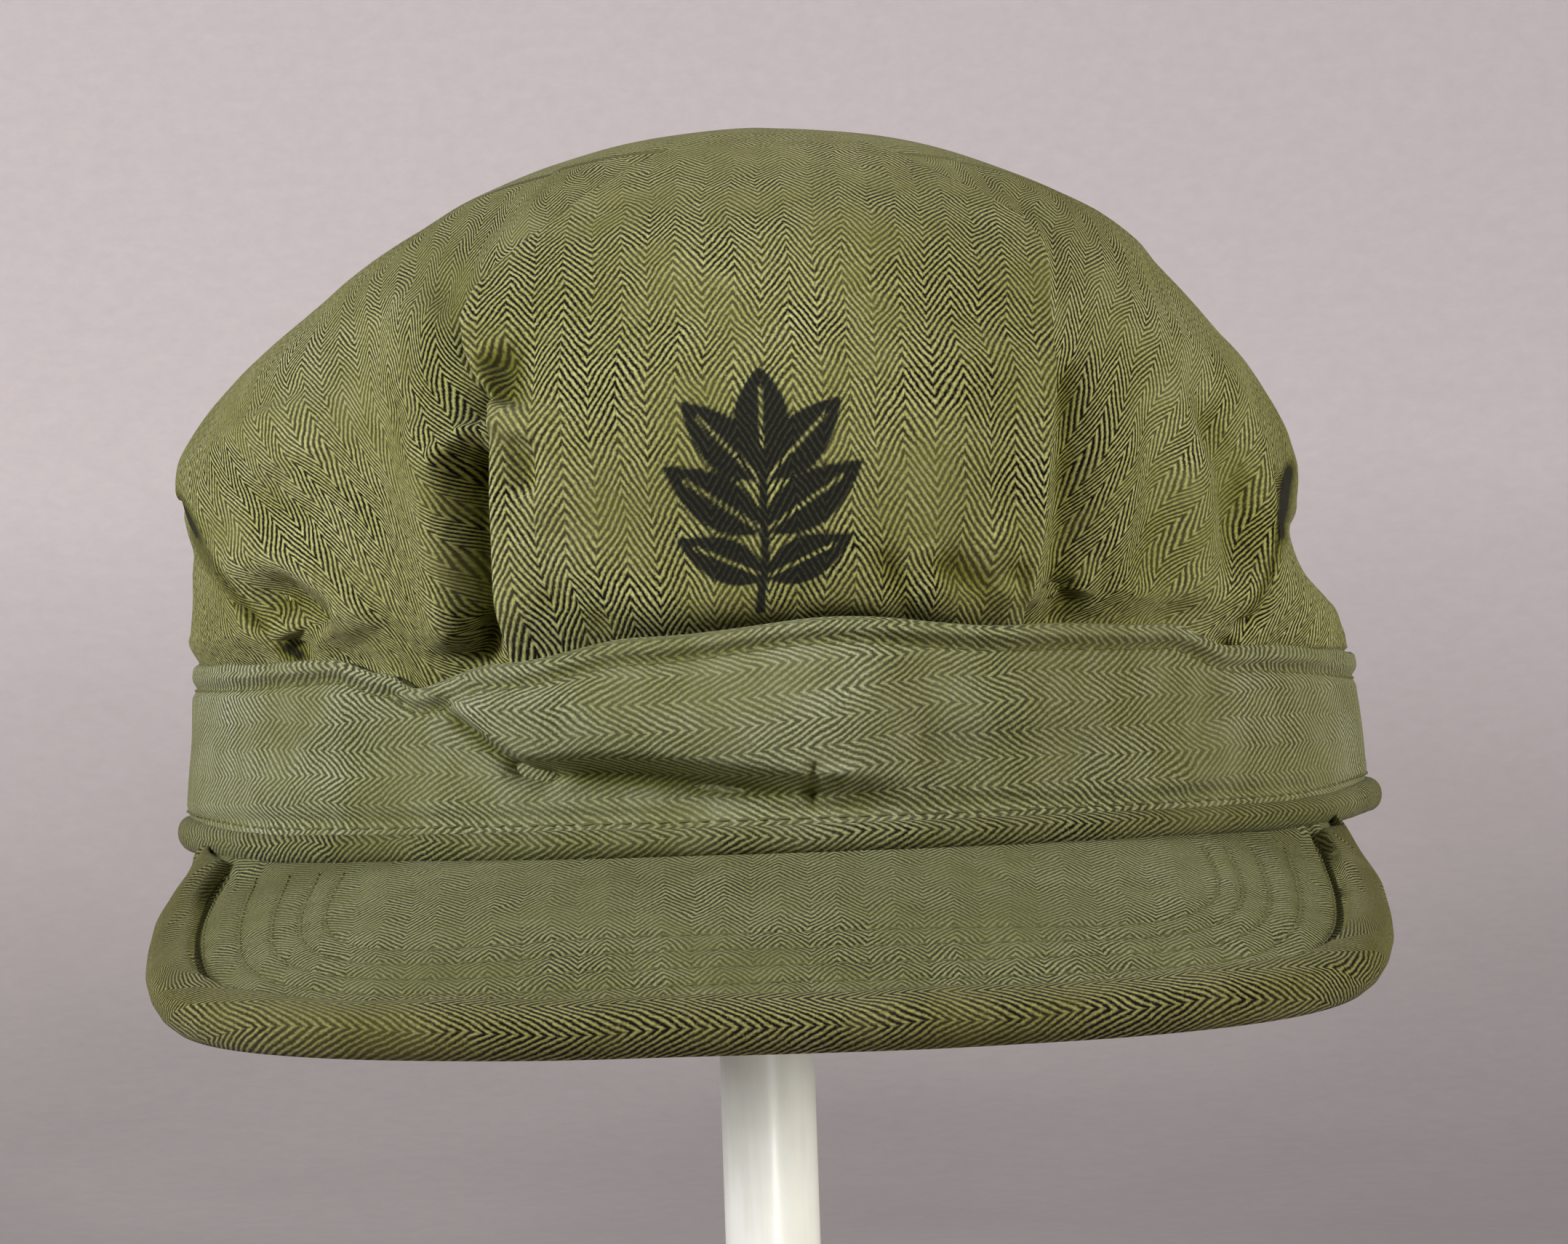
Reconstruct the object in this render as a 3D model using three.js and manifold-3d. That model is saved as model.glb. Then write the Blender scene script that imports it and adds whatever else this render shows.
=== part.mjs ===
// A soft cotton field cap with a pleated crown, a low band and a short cloth peak, on a plain display stand.
// Millimetres, +Z up. The origin is the centre of the stand's underside, and the cap's peak points along -Y.
// Angles round the cap are in degrees from the front: minus is the -X side, plus the +X side, 180 the back.
// Heights in the cap's own tables are measured up from its rim.
import * as THREE from "three";
import { mergeVertices } from "three/addons/utils/BufferGeometryUtils.js";
import Module from "manifold-3d";

const wasm = await Module();
wasm.setup();

// Driving sizes of the cap
const headLength = 203; // outside of the band at the rim, front to back
const headWidth = 166; // outside of the band at the rim, side to side
const crownHeight = 98.2; // rim to the top of the crown
const crownSlump = 4; // how far the crown's shoulders hang over to the -X side
const crownWall = 1.5;
const bandHeight = 25; // rim to the band's top edge, at the sides
const bandTaper = 1.9; // how much the band draws in on each side from the rim to its top edge
const bandWall = 2.2;
const tuckDepth = 8; // how far the crown reaches down inside the band
const seamGap = 0.35; // clearance between pieces that lie on each other
const looseGap = 0.6; // clearance where a curved piece lies over another
const panelHalfWidth = 36; // the front panel, from its middle to a pleat
const panelOverlap = 4.5; // how far the front panel lies over the crown's sides
const foldWidth = 10; // the width of a full fold in the crown or the band
const foldDepth = 7; // how deep the deepest pleat of the crown is
const foldFade = 7; // how far above the band the crown's folds reach their full depth
const bandFoldDepth = 2.6; // how far a full fold of the band stands out or in
const gatherDepth = 1.1;
const gatherWidth = 4;
const droopDepth = 4.5; // how far the cloth just under the crown's drooping lip lies back
const droopReach = 9; // how far down from the lip the cloth is drawn back so
const droopBulge = 0.6; // how far the lip stands out
const droopHang = 2.6; // how far the lip hangs down
const droopTurn = 3.4; // the height over which the cloth turns under at the lip
const hemHeight = 4.6; // the rolled edge under the band
const hemBulge = 1; // how far that roll stands out past the band
const hemDepth = 3.8;
const peakLength = 61.5; // from the rim to the front of the peak
const peakInset = 1; // how much narrower than the band the peak is on each side
const peakShift = 1; // how far the peak's edge sits to the -X side
const peakEnd = 38; // how far in front of the cap's middle the peak's ends are
const peakDrop = 20; // how far the peak's front edge hangs below the rim
const peakCamber = 1.6;
const peakThickness = 3;
const bindingWidth = 6.5; // the binding along the edge of the peak
const bindingWall = 1.3;

// Driving sizes of the stand
const standHeight = 300; // floor to the top of the rest
const baseDiameter = 150;
const baseThickness = 9;
const postDiameter = 13.3;
const restDiameter = 66;
const restRadius = 46; // the curve of the rest's domed top
const restThickness = 4;
const socketWall = 4.5;
const socketDepth = 14;
const socketClearance = 0.3;
const capOffset = 2.7; // the cap hangs this far to the +X side of the post
const roundSteps = 28; // facets round the stand

const radians = THREE.MathUtils.degToRad;
const clamp = THREE.MathUtils.clamp;
const smooth = THREE.MathUtils.smoothstep;
const halfLength = headLength / 2;
const halfWidth = headWidth / 2;
const peakHalfWidth = halfWidth - peakInset;
const rimHeight = standHeight + looseGap + crownWall - crownHeight;

// The crown's sections from just above the band to its top. Reaches are shares of half the head's length or
// width, and rises are shares of the crown's height above the band.
const crownSections = [
  { frontReach: 0.966, frontRise: 0.108, sideReach: 0.974, sideRise: 0.061, backReach: 0.978, backRise: 0.061 },
  { frontReach: 0.969, frontRise: 0.175, sideReach: 0.965, sideRise: 0.147, backReach: 0.985, backRise: 0.14 },
  { frontReach: 0.974, frontRise: 0.337, sideReach: 0.966, sideRise: 0.284, backReach: 1.025, backRise: 0.269 },
  { frontReach: 0.956, frontRise: 0.479, sideReach: 0.945, sideRise: 0.384, backReach: 1.015, backRise: 0.378 },
  { frontReach: 0.913, frontRise: 0.61, sideReach: 0.894, sideRise: 0.479, backReach: 0.97, backRise: 0.479 },
  { frontReach: 0.839, frontRise: 0.732, sideReach: 0.815, sideRise: 0.581, backReach: 0.897, backRise: 0.581 },
  { frontReach: 0.729, frontRise: 0.823, sideReach: 0.722, sideRise: 0.69, backReach: 0.783, backRise: 0.687 },
  { frontReach: 0.581, frontRise: 0.895, sideReach: 0.612, sideRise: 0.793, backReach: 0.635, backRise: 0.779 },
  { frontReach: 0.404, frontRise: 0.953, sideReach: 0.466, sideRise: 0.883, backReach: 0.463, backRise: 0.863 },
  { frontReach: 0.207, frontRise: 0.988, sideReach: 0.27, sideRise: 0.961, backReach: 0.256, backRise: 0.946 },
  { frontReach: 0, frontRise: 1, sideReach: 0, sideRise: 1, backReach: 0, backRise: 1 },
];

// The band's top edge: its height at each angle, as a share of the band's height.
const bandTop = [
  { angle: -85, rise: 1 },
  { angle: -65, rise: 1 },
  { angle: -46, rise: 1.03 },
  { angle: -39, rise: 0.95 },
  { angle: -35, rise: 0.86 },
  { angle: -26, rise: 0.97 },
  { angle: -12, rise: 1.08 },
  { angle: 5, rise: 1.16 },
  { angle: 24, rise: 1.09 },
  { angle: 40, rise: 1.07 },
  { angle: 49, rise: 0.93 },
  { angle: 85, rise: 0.86 },
  { angle: 180, rise: 0.94 },
  { angle: 275, rise: 1 },
];

// The lip where the full crown droops over its own lower part: its rise at each angle, as a share of the
// crown's height above the band, and how much of the droop there is.
const droopLip = [
  { angle: -185, rise: 0.249, share: 0.8 },
  { angle: -120, rise: 0.289, share: 0.9 },
  { angle: -85, rise: 0.309, share: 1 },
  { angle: -75, rise: 0.226, share: 1 },
  { angle: -66, rise: 0.149, share: 1 },
  { angle: -59, rise: 0.089, share: 0.8 },
  { angle: -52, rise: 0.034, share: 0 },
  { angle: 50, rise: 0.021, share: 0 },
  { angle: 55, rise: 0.074, share: 0.8 },
  { angle: 59, rise: 0.158, share: 1 },
  { angle: 64, rise: 0.302, share: 1 },
  { angle: 90, rise: 0.316, share: 1 },
  { angle: 120, rise: 0.289, share: 0.9 },
  { angle: 175, rise: 0.249, share: 0.8 },
];

// Folds of the crown. Each runs from one angle and rise to another, and rises are shares of the crown's height
// above the band. Bow and width are shares of foldWidth, and out is a share of foldDepth, minus for a hollow.
const sideFolds = [
  { name: "left pleat hollow", from: [-29.2, -0.07], to: [-29, 0.39], bow: 0, width: 0.34, out: -1 },
  { name: "left pleat roll", from: [-33.5, -0.07], to: [-29.6, 0.46], bow: -0.22, width: 0.46, out: 0.46 },
  { name: "left pleat throat", from: [-26, 0.46], to: [-33, 0.68], bow: 0, width: 0.6, out: -0.57 },
  { name: "left outer ridge", from: [-36, 0.06], to: [-41, 0.7], bow: -0.2, width: 0.6, out: 0.29 },
  { name: "left cheek ridge", from: [-51, 0.2], to: [-40, -0.01], bow: 0, width: 0.5, out: 0.29 },
  { name: "left cheek hollow", from: [-50, 0.17], to: [-45, 0.03], bow: 0, width: 0.6, out: -0.49 },
  { name: "right pleat hollow", from: [30.5, -0.07], to: [33, 0.46], bow: 0, width: 0.36, out: -0.37 },
  { name: "right cheek hollow", from: [50, 0.06], to: [60, 0.54], bow: -0.2, width: 0.55, out: -0.51 },
  { name: "right cheek ridge", from: [42, 0.06], to: [46, 0.49], bow: 0, width: 0.6, out: 0.23 },
];
const panelFolds = [
  { name: "left foot dent", from: [-22, 0.06], to: [-11, 0.06], bow: 0, width: 0.4, out: -0.13 },
  { name: "right foot dent", from: [9, 0.12], to: [15, 0.12], bow: 0, width: 0.5, out: -0.14 },
  { name: "right edge dent", from: [21, 0.09], to: [24, 0.09], bow: 0, width: 0.4, out: -0.14 },
];
// Gathers across the back, where the crown is eased into the band
const gatherCount = 9;
const gatherFrom = 108;
const gatherTo = 252;

// Folds of the band: here the rises are shares of the band's height, and out is a share of bandFoldDepth.
const bandFolds = [
  { name: "front bulge", from: [-24, 0.78], to: [44, 0.74], bow: 0, width: 0.8, out: 0.92 },
  { name: "pocket lip", from: [-34, 0.78], to: [2, 0.44], bow: -0.2, width: 0.32, out: 0.62 },
  { name: "pocket hollow", from: [-24, 0.38], to: [-19, 0.36], bow: 0, width: 0.26, out: -1 },
];

// A smooth curve through the numbers in a list, at place s counted in steps of the list, with no overshoot.
// It can end level, as the heights of a domed top do.
function smoothValue(values, s, levelEnd = false) {
  const last = values.length - 1;
  const i = Math.floor(clamp(s, 0, last - 1e-9));
  const f = s - i;
  const step = (k) => values[clamp(k + 1, 0, last)] - values[clamp(k, 0, last)];
  const slope = (before, after) => (before * after > 0 ? (2 * before * after) / (before + after) : 0);
  const here = step(i);
  const start = i === 0 ? here : slope(step(i - 1), here);
  const end = i < last - 1 ? slope(here, step(i + 1)) : levelEnd ? 0 : here;
  const f2 = f * f;
  const f3 = f2 * f;
  const between = values[i] + (values[i + 1] - values[i]) * (3 * f2 - 2 * f3);
  return between + start * (f3 - 2 * f2 + f) + end * (f3 - f2);
}

// The value of one column of a table at an angle, eased between its rows.
function columnAt(table, column, angle) {
  const first = table[0].angle;
  const a = first + ((((angle - first) % 360) + 360) % 360);
  const after = table.findIndex((row) => row.angle > a);
  if (after < 0) return table[table.length - 1][column];
  const [low, high] = [table[after - 1], table[after]];
  return THREE.MathUtils.lerp(low[column], high[column], smooth(a, low.angle, high.angle));
}

// A point of the band's outer line at a height above the rim, moved outwards by out.
function ringPoint(angle, height, out = 0) {
  const drawn = out - (bandTaper * height) / bandHeight;
  const a = radians(angle);
  return new THREE.Vector3((halfWidth + drawn) * Math.sin(a), -(halfLength + drawn) * Math.cos(a), height);
}

const bandTopAt = (angle) => bandHeight * columnAt(bandTop, "rise", angle);

// How far one fold moves the cloth out at a place given by its angle, height and distance from the cap's axis.
function foldOut(fold, depth, heightOf, angle, height, radius) {
  const across = radians(1) * radius;
  const start = new THREE.Vector2(fold.from[0] * across, heightOf(fold.from[1]));
  const way = new THREE.Vector2(fold.to[0] * across, heightOf(fold.to[1])).sub(start);
  const length = way.length();
  way.normalize();
  const here = new THREE.Vector2(angle * across, height).sub(start);
  const along = here.dot(way) / length;
  const inside = clamp(along, 0, 1);
  const side = here.cross(way) - fold.bow * foldWidth * 4 * inside * (1 - inside);
  const past = (along - inside) * length;
  const width = fold.width * foldWidth;
  return fold.out * depth * Math.exp(-(side * side + past * past) / (width * width));
}

const foldsOut = (folds, ...place) => folds.reduce((sum, fold) => sum + foldOut(fold, ...place), 0);
const crownRise = (rise) => bandHeight + rise * (crownHeight - bandHeight);
const bandRise = (rise) => rise * bandHeight;
const signedAngle = (angle) => ((((angle + 180) % 360) + 360) % 360) - 180;

// How much of the front panel's room the crown leaves at an angle, where the panel lies between it and the band
function underPanel(angle) {
  const edge = THREE.MathUtils.radToDeg(Math.asin(panelHalfWidth / halfWidth));
  return 1 - smooth(Math.abs(signedAngle(angle)), edge + 3, edge + 13);
}

// The plain crown, with no folds: t runs from 0 at its lower edge, inside the band, to 1 at its top.
function crownBase(angle, t) {
  const a = radians(angle);
  const towards = Math.cos(a) > 0 ? "front" : "back";
  const faceShare = Math.cos(a) ** 2;
  const sideShare = Math.sin(a) ** 2;
  const edge = bandTopAt(angle);
  const inset = bandWall + looseGap + (crownWall + looseGap) * underPanel(angle);
  const tucked = [edge - tuckDepth, edge + seamGap];
  const s = t * (crownSections.length + 1);
  const reachAt = (end, size) => {
    const inside = tucked.map((height) => size - (bandTaper * height) / bandHeight - inset);
    return smoothValue([...inside, ...crownSections.map((row) => row[end + "Reach"] * size)], s);
  };
  const heightAt = (end) => {
    const above = crownSections.map((row) => crownRise(row[end + "Rise"]));
    return smoothValue([...tucked, ...above], s, true);
  };
  const side = reachAt("side", halfWidth);
  const face = reachAt(towards, halfLength);
  const height = faceShare * heightAt(towards) + sideShare * heightAt("side");
  const upSlump = clamp((height - bandHeight) / (crownRise(0.82) - bandHeight), 0, 1);
  const slump = crownSlump * sideShare * Math.sin(Math.PI * upSlump);
  return new THREE.Vector3(side * Math.sin(a) - slump, -face * Math.cos(a), height);
}

// The way out of the plain crown at a place, by differences.
function crownOut(angle, t) {
  const step = 0.01;
  const low = Math.min(t, 1 - 2 * step);
  const along = crownBase(angle, low + step).sub(crownBase(angle, low));
  const around = crownBase(angle + 1, low).sub(crownBase(angle - 1, low));
  return around.cross(along).normalize();
}

// Half the front panel's width at a height: straight below, closing in an arch above.
const panelArchFrom = 0.5;
const panelArchTo = 0.85;
function panelSpan(t, halfSpan = panelHalfWidth) {
  const up = clamp((t - panelArchFrom) / (panelArchTo - panelArchFrom), 0, 1);
  return halfSpan * Math.sqrt(1 - up * up);
}

// How far the crown's folds move its cloth outwards, and how far the lip hangs down.
function crownFolds(angle, t, point) {
  const radius = Math.hypot(point.x, point.y);
  const besidePanel = point.y < 0 ? smooth(Math.abs(point.x) - panelSpan(t), 0, panelOverlap) : 1;
  const aboveBand = smooth(point.z - bandTopAt(angle), 0, foldFade);
  const share = columnAt(droopLip, "share", angle);
  const fromLip = point.z - crownRise(columnAt(droopLip, "rise", angle));
  const overLip = smooth(fromLip, -0.65 * droopTurn, 0.35 * droopTurn);
  const under = Math.exp(-((Math.min(fromLip + droopTurn, 0) / droopReach) ** 2)) * (1 - overLip) * aboveBand;
  const over = Math.exp(-((Math.max(fromLip - droopTurn, 0) / (2 * droopTurn)) ** 2)) * overLip;
  let out = share * (droopBulge * over - droopDepth * under);
  out += aboveBand * foldsOut(sideFolds, foldDepth, crownRise, signedAngle(angle), point.z, radius);
  out = Math.min(out, 0) + Math.max(out, 0) * besidePanel;
  for (let k = 0; k < gatherCount; k++) {
    const at = gatherFrom + ((gatherTo - gatherFrom) * k) / (gatherCount - 1);
    const across = (radians(signedAngle(angle - at)) * radius) / gatherWidth;
    out += gatherDepth * aboveBand * Math.exp(-across * across) * (1 - smooth(fromLip, 0, 3 * gatherWidth));
  }
  return { out, hang: share * droopHang * over * smooth(radius, 0.3 * halfLength, 0.6 * halfLength) };
}

// A point of the crown's sides, top and back.
function crownPoint(angle, t) {
  const point = crownBase(angle, t);
  const folds = crownFolds(angle, t, point);
  point.addScaledVector(crownOut(angle, t), folds.out);
  point.z -= folds.hang;
  return point;
}

// The front panel lies on the crown between its pleats and closes in an arch over the top.
function panelAngle(share, t, halfSpan) {
  const x = share * panelSpan(t, halfSpan);
  return THREE.MathUtils.radToDeg(Math.asin(x / crownBase(90, t).add(new THREE.Vector3(crownSlump, 0, 0)).x));
}
function panelPoint(share, t, lift, halfSpan = panelHalfWidth) {
  const angle = panelAngle(share, t, halfSpan);
  const point = crownBase(angle, t);
  const radius = Math.hypot(point.x, point.y);
  const awayFromEdge = smooth(1 - Math.abs(share), 0.12, 0.35);
  const dents = foldsOut(panelFolds, foldDepth, crownRise, angle, point.z, radius);
  return point.addScaledVector(crownOut(angle, t), lift + dents * awayFromEdge);
}

// A closed solid from a grid of points on its outer face, given as rows of columns, and a wall behind it.
function sheetSolid(grid, wall, around = false) {
  const columns = grid.length;
  const rows = grid[0].length;
  const at = (i, j) => grid[around ? (i + columns) % columns : clamp(i, 0, columns - 1)][clamp(j, 0, rows - 1)];
  const outwards = (i, j) => {
    const row = grid[0][j].distanceTo(grid[Math.floor(columns / 2)][j]) < 1e-6 ? j + (j ? -1 : 1) : j;
    const sum = new THREE.Vector3();
    const columnsHere = row === j ? [i] : [...grid.keys()];
    for (const c of columnsHere)
      sum.add(
        at(c + 1, row)
          .clone()
          .sub(at(c - 1, row))
          .cross(at(c, row + 1).clone().sub(at(c, row - 1)))
          .normalize(),
      );
    return sum.normalize();
  };
  const outer = grid.map((column) => column.map((point) => point.clone()));
  const inner = grid.map((column, i) =>
    column.map((point, j) => point.clone().addScaledVector(outwards(i, j), -wall)),
  );
  const faces = [];
  const quad = (a, b, c, d) => faces.push(a, b, c, a, c, d);
  const spans = around ? columns : columns - 1;
  for (let i = 0; i < spans; i++) {
    const k = (i + 1) % columns;
    for (let j = 0; j < rows - 1; j++) {
      quad(outer[i][j], outer[k][j], outer[k][j + 1], outer[i][j + 1]);
      quad(inner[i][j], inner[i][j + 1], inner[k][j + 1], inner[k][j]);
    }
    quad(outer[i][0], inner[i][0], inner[k][0], outer[k][0]);
    quad(outer[i][rows - 1], outer[k][rows - 1], inner[k][rows - 1], inner[i][rows - 1]);
  }
  if (!around)
    for (let j = 0; j < rows - 1; j++) {
      quad(outer[0][j], outer[0][j + 1], inner[0][j + 1], inner[0][j]);
      const e = columns - 1;
      quad(outer[e][j], inner[e][j], inner[e][j + 1], outer[e][j + 1]);
    }
  return closedGeometry(faces);
}

// A closed ring from sections that each go once round, anticlockwise as seen looking along the ring's path.
function ringSolid(sections) {
  const faces = [];
  sections.forEach((section, i) => {
    const next = sections[(i + 1) % sections.length];
    section.forEach((a, j) => {
      const k = (j + 1) % section.length;
      faces.push(a, next[j], next[k], a, next[k], section[k]);
    });
  });
  return closedGeometry(faces);
}

// Welds a list of triangle corners and drops the triangles that have closed up.
function closedGeometry(corners) {
  const geometry = new THREE.BufferGeometry();
  const positions = new Float32Array(corners.flatMap((point) => [point.x, point.y, point.z]));
  geometry.setAttribute("position", new THREE.BufferAttribute(positions, 3));
  const welded = mergeVertices(geometry, 1e-3);
  const kept = [];
  const index = welded.index.array;
  for (let i = 0; i < index.length; i += 3) {
    const [a, b, c] = index.slice(i, i + 3);
    if (a !== b && b !== c && c !== a) kept.push(a, b, c);
  }
  welded.setIndex(kept);
  return welded;
}

function toSolid(geometry) {
  const mesh = new wasm.Mesh({
    numProp: 3,
    vertProperties: geometry.getAttribute("position").array,
    triVerts: new Uint32Array(geometry.index.array),
  });
  return new wasm.Manifold(mesh);
}

function fromSolid(solid) {
  const mesh = solid.getMesh();
  const geometry = new THREE.BufferGeometry();
  geometry.setAttribute("position", new THREE.BufferAttribute(new Float32Array(mesh.vertProperties), 3));
  geometry.setIndex([...mesh.triVerts]);
  return geometry;
}

function steps(count, from = 0, to = 1) {
  return Array.from({ length: count + 1 }, (_, k) => from + ((to - from) * k) / count);
}
// Angles all the way round, closer together at the front, where the pleats are
const roundColumns = 76;
const frontCrowding = 0.42;
const roundAngles = steps(roundColumns, 0, 2 * Math.PI)
  .slice(0, -1)
  .map((turn) => THREE.MathUtils.radToDeg(turn - frontCrowding * Math.sin(turn)));

// The crown's sides, top and back, in one piece, cut away behind the front panel
const bandTopRow = 1 / (crownSections.length + 1);
const crownRows = [0, ...steps(17, bandTopRow, 1)];
function crownSides() {
  const grid = roundAngles.map((angle) => crownRows.map((t) => crownPoint(angle, t)));
  const whole = toSolid(sheetSolid(grid, crownWall, true));
  const cutLift = 4 * crownWall;
  const cutSpan = panelHalfWidth - panelOverlap;
  const archStop = panelArchTo - (0.5 * panelOverlap) / halfWidth;
  const cutGrid = steps(10, -1, 1).map((share) => [
    panelPoint(share, 0, cutLift, cutSpan).setZ(bandTopAt(0) - 3 * tuckDepth),
    ...steps(12, 0, archStop).map((t) => panelPoint(share, t, cutLift, cutSpan)),
  ]);
  return fromSolid(whole.subtract(toSolid(sheetSolid(cutGrid, 3 * cutLift))));
}

// The front panel
function crownFront() {
  const lift = crownWall + looseGap;
  const rows = [...crownRows.filter((t) => t < panelArchTo), panelArchTo];
  const grid = steps(16, -1, 1).map((share) => rows.map((t) => panelPoint(share, t, lift)));
  return sheetSolid(grid, crownWall);
}

// The band, from the rolled edge up to its wavy top edge
function bandPoint(angle, share) {
  const low = hemHeight + seamGap;
  const height = low + (bandTopAt(angle) - low) * share;
  const out = foldsOut(bandFolds, bandFoldDepth, bandRise, signedAngle(angle), height, halfLength);
  const besideCrown = smooth(height, bandTopAt(angle) - tuckDepth - bandWall, bandTopAt(angle) - tuckDepth);
  const kept = Math.max(out, 0) + Math.min(out, 0) * (1 - besideCrown);
  return ringPoint(angle, height, kept * smooth(share, 0, 0.3));
}
function band() {
  const grid = roundAngles.map((angle) => steps(4).map((share) => bandPoint(angle, share)));
  return sheetSolid(grid, bandWall, true);
}

// The rolled edge all round the rim
function bandHem() {
  const outline = 6;
  const corner = Math.PI / outline;
  const sections = roundAngles.map((angle) =>
    steps(outline - 1, corner, 2 * Math.PI - corner).map((turn) => {
      const out = hemBulge - hemDepth / 2 + (hemDepth / 2) * Math.cos(turn);
      return ringPoint(angle, 0, out).setZ((hemHeight / 2) * (1 + Math.sin(turn)));
    }),
  );
  return ringSolid(sections);
}

// The peak's upper face: share runs from -1 to 1 across it, and out from 0 at the rim to 1 at its edge.
const peakCorner = 5; // how square its front corners are
function peakPoint(share, out) {
  const turn = (share * Math.PI) / 2;
  const endAngle = THREE.MathUtils.radToDeg(Math.acos(peakEnd / halfLength));
  const inner = ringPoint(share * endAngle, 0, -hemDepth / 2).setZ(-seamGap);
  const reach = halfLength + peakLength - peakEnd;
  const power = (value) => Math.abs(value) ** peakCorner;
  const stretch = (power(Math.sin(turn)) + power(Math.cos(turn))) ** (-1 / peakCorner);
  const outer = new THREE.Vector3(
    peakHalfWidth * stretch * Math.sin(turn) - peakShift,
    -peakEnd - reach * stretch * Math.cos(turn),
    -seamGap - peakDrop * (1 - Math.abs(share) ** 2.9),
  );
  const point = inner.lerp(outer, out);
  point.z += peakCamber * Math.sin(Math.PI * out) * Math.cos(turn);
  return point;
}
// The way up out of the peak's upper face
function peakUp(share, out) {
  const step = 0.01;
  const low = Math.min(out, 1 - step);
  const across = peakPoint(Math.min(share + step, 1), low).sub(peakPoint(Math.max(share - step, -1), low));
  const along = peakPoint(share, low + step).sub(peakPoint(share, low));
  return along.cross(across).normalize();
}
// The way straight out from the peak's edge, and how far the peak reaches along it
function peakAway(share) {
  const step = 0.01;
  const edge = peakPoint(Math.min(share + step, 1), 1).sub(peakPoint(Math.max(share - step, -1), 1));
  const away = edge.cross(peakUp(share, 1)).normalize();
  return { away, reach: away.dot(peakPoint(share, 1).sub(peakPoint(share, 0))) };
}
// Shares across the peak, closer together at its corners
const peakShares = steps(34, -1, 1).map((share) => share + 0.05 * Math.sin(2 * Math.PI * share));

function peak() {
  const grid = peakShares.map((share) => {
    const stop = 1 - (bindingWall + 2 * seamGap) / peakAway(share).reach;
    return steps(5, stop, 0).map((out) => peakPoint(share, out));
  });
  return sheetSolid(grid, peakThickness);
}

// The binding that wraps the peak's edge, laid over it and turned under
function peakBinding() {
  const underHem = hemDepth / 2 + hemBulge + 2 * seamGap;
  const half = peakThickness / 2 + seamGap + bindingWall;
  const laidOn = (share, out, side) =>
    peakPoint(share, out).addScaledVector(peakUp(share, out), side * half - peakThickness / 2);
  const grid = peakShares.map((share) => {
    const { away, reach } = peakAway(share);
    const inward = 1 - Math.min(bindingWidth, reach - underHem) / reach;
    const edge = 1 - bindingWall / reach;
    const round = steps(2, -Math.PI / 3, Math.PI / 3).map((turn) =>
      laidOn(share, edge, Math.sin(turn)).addScaledVector(away, bindingWall * Math.cos(turn)),
    );
    const under = [laidOn(share, inward, -1), laidOn(share, edge, -1)];
    return [...under, ...round, laidOn(share, edge, 1), laidOn(share, inward, 1)];
  });
  return sheetSolid(grid, bindingWall);
}

// A turned solid from its profile of radius and height, from the axis up the outside and back to the axis
function turned(profile) {
  const points = profile.map(([radius, height]) => new THREE.Vector2(radius, height));
  return new THREE.LatheGeometry(points, roundSteps).rotateX(Math.PI / 2);
}

const restEdgeDrop = restRadius - Math.sqrt(restRadius ** 2 - (restDiameter / 2) ** 2);
const boreRadius = postDiameter / 2 + socketClearance;

// The round foot, with a socket for the post
function standBase() {
  const radius = baseDiameter / 2;
  const edge = 3;
  const top = baseThickness + socketDepth;
  return turned([
    [0, 0],
    [radius - 1, 0],
    [radius, 1],
    [radius, baseThickness - edge],
    [radius - edge * 0.3, baseThickness - edge * 0.3],
    [radius - edge, baseThickness],
    [boreRadius + socketWall + 2, baseThickness],
    [boreRadius + socketWall, baseThickness + 2],
    [boreRadius + socketWall, top - 1],
    [boreRadius + socketWall - 1, top],
    [boreRadius, top],
    [boreRadius, baseThickness],
    [0, baseThickness],
  ]);
}

function standPost() {
  const low = baseThickness + socketClearance;
  const high = standHeight - restThickness - socketClearance;
  return turned([
    [0, low],
    [postDiameter / 2, low],
    [postDiameter / 2, high],
    [0, high],
  ]);
}

// The domed rest under the crown, with a socket for the post
function standRest() {
  const under = standHeight - restThickness;
  const domeAngle = Math.asin(restDiameter / 2 / restRadius);
  const rim = standHeight - restEdgeDrop;
  const domed = steps(6, domeAngle, 0).map((turn) => [
    restRadius * Math.sin(turn),
    standHeight - restRadius * (1 - Math.cos(turn)),
  ]);
  return turned([
    [0, under],
    [boreRadius, under],
    [boreRadius, under - socketDepth],
    [boreRadius + socketWall, under - socketDepth],
    [boreRadius + socketWall, under - 1],
    [restDiameter / 2 - 2, rim - restThickness],
    ...domed,
  ]);
}

// Colours of the finished object
const crownCloth = new THREE.MeshStandardMaterial({ color: 0x6f6e43, roughness: 0.95, metalness: 0 });
const bandCloth = new THREE.MeshStandardMaterial({ color: 0x707152, roughness: 0.95, metalness: 0 });
const peakCloth = new THREE.MeshStandardMaterial({ color: 0x6c6b45, roughness: 0.95, metalness: 0 });
const clearPlastic = new THREE.MeshStandardMaterial({ color: 0xdcdad0, roughness: 0.3, metalness: 0 });

const capParts = [
  ["crown_sides", crownSides(), crownCloth],
  ["crown_front_panel", crownFront(), crownCloth],
  ["band", band(), bandCloth],
  ["band_hem", bandHem(), bandCloth],
  ["peak", peak(), peakCloth],
  ["peak_binding", peakBinding(), peakCloth],
];
const standParts = [
  ["stand_base", standBase(), clearPlastic],
  ["stand_post", standPost(), clearPlastic],
  ["stand_rest", standRest(), clearPlastic],
];

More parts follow.
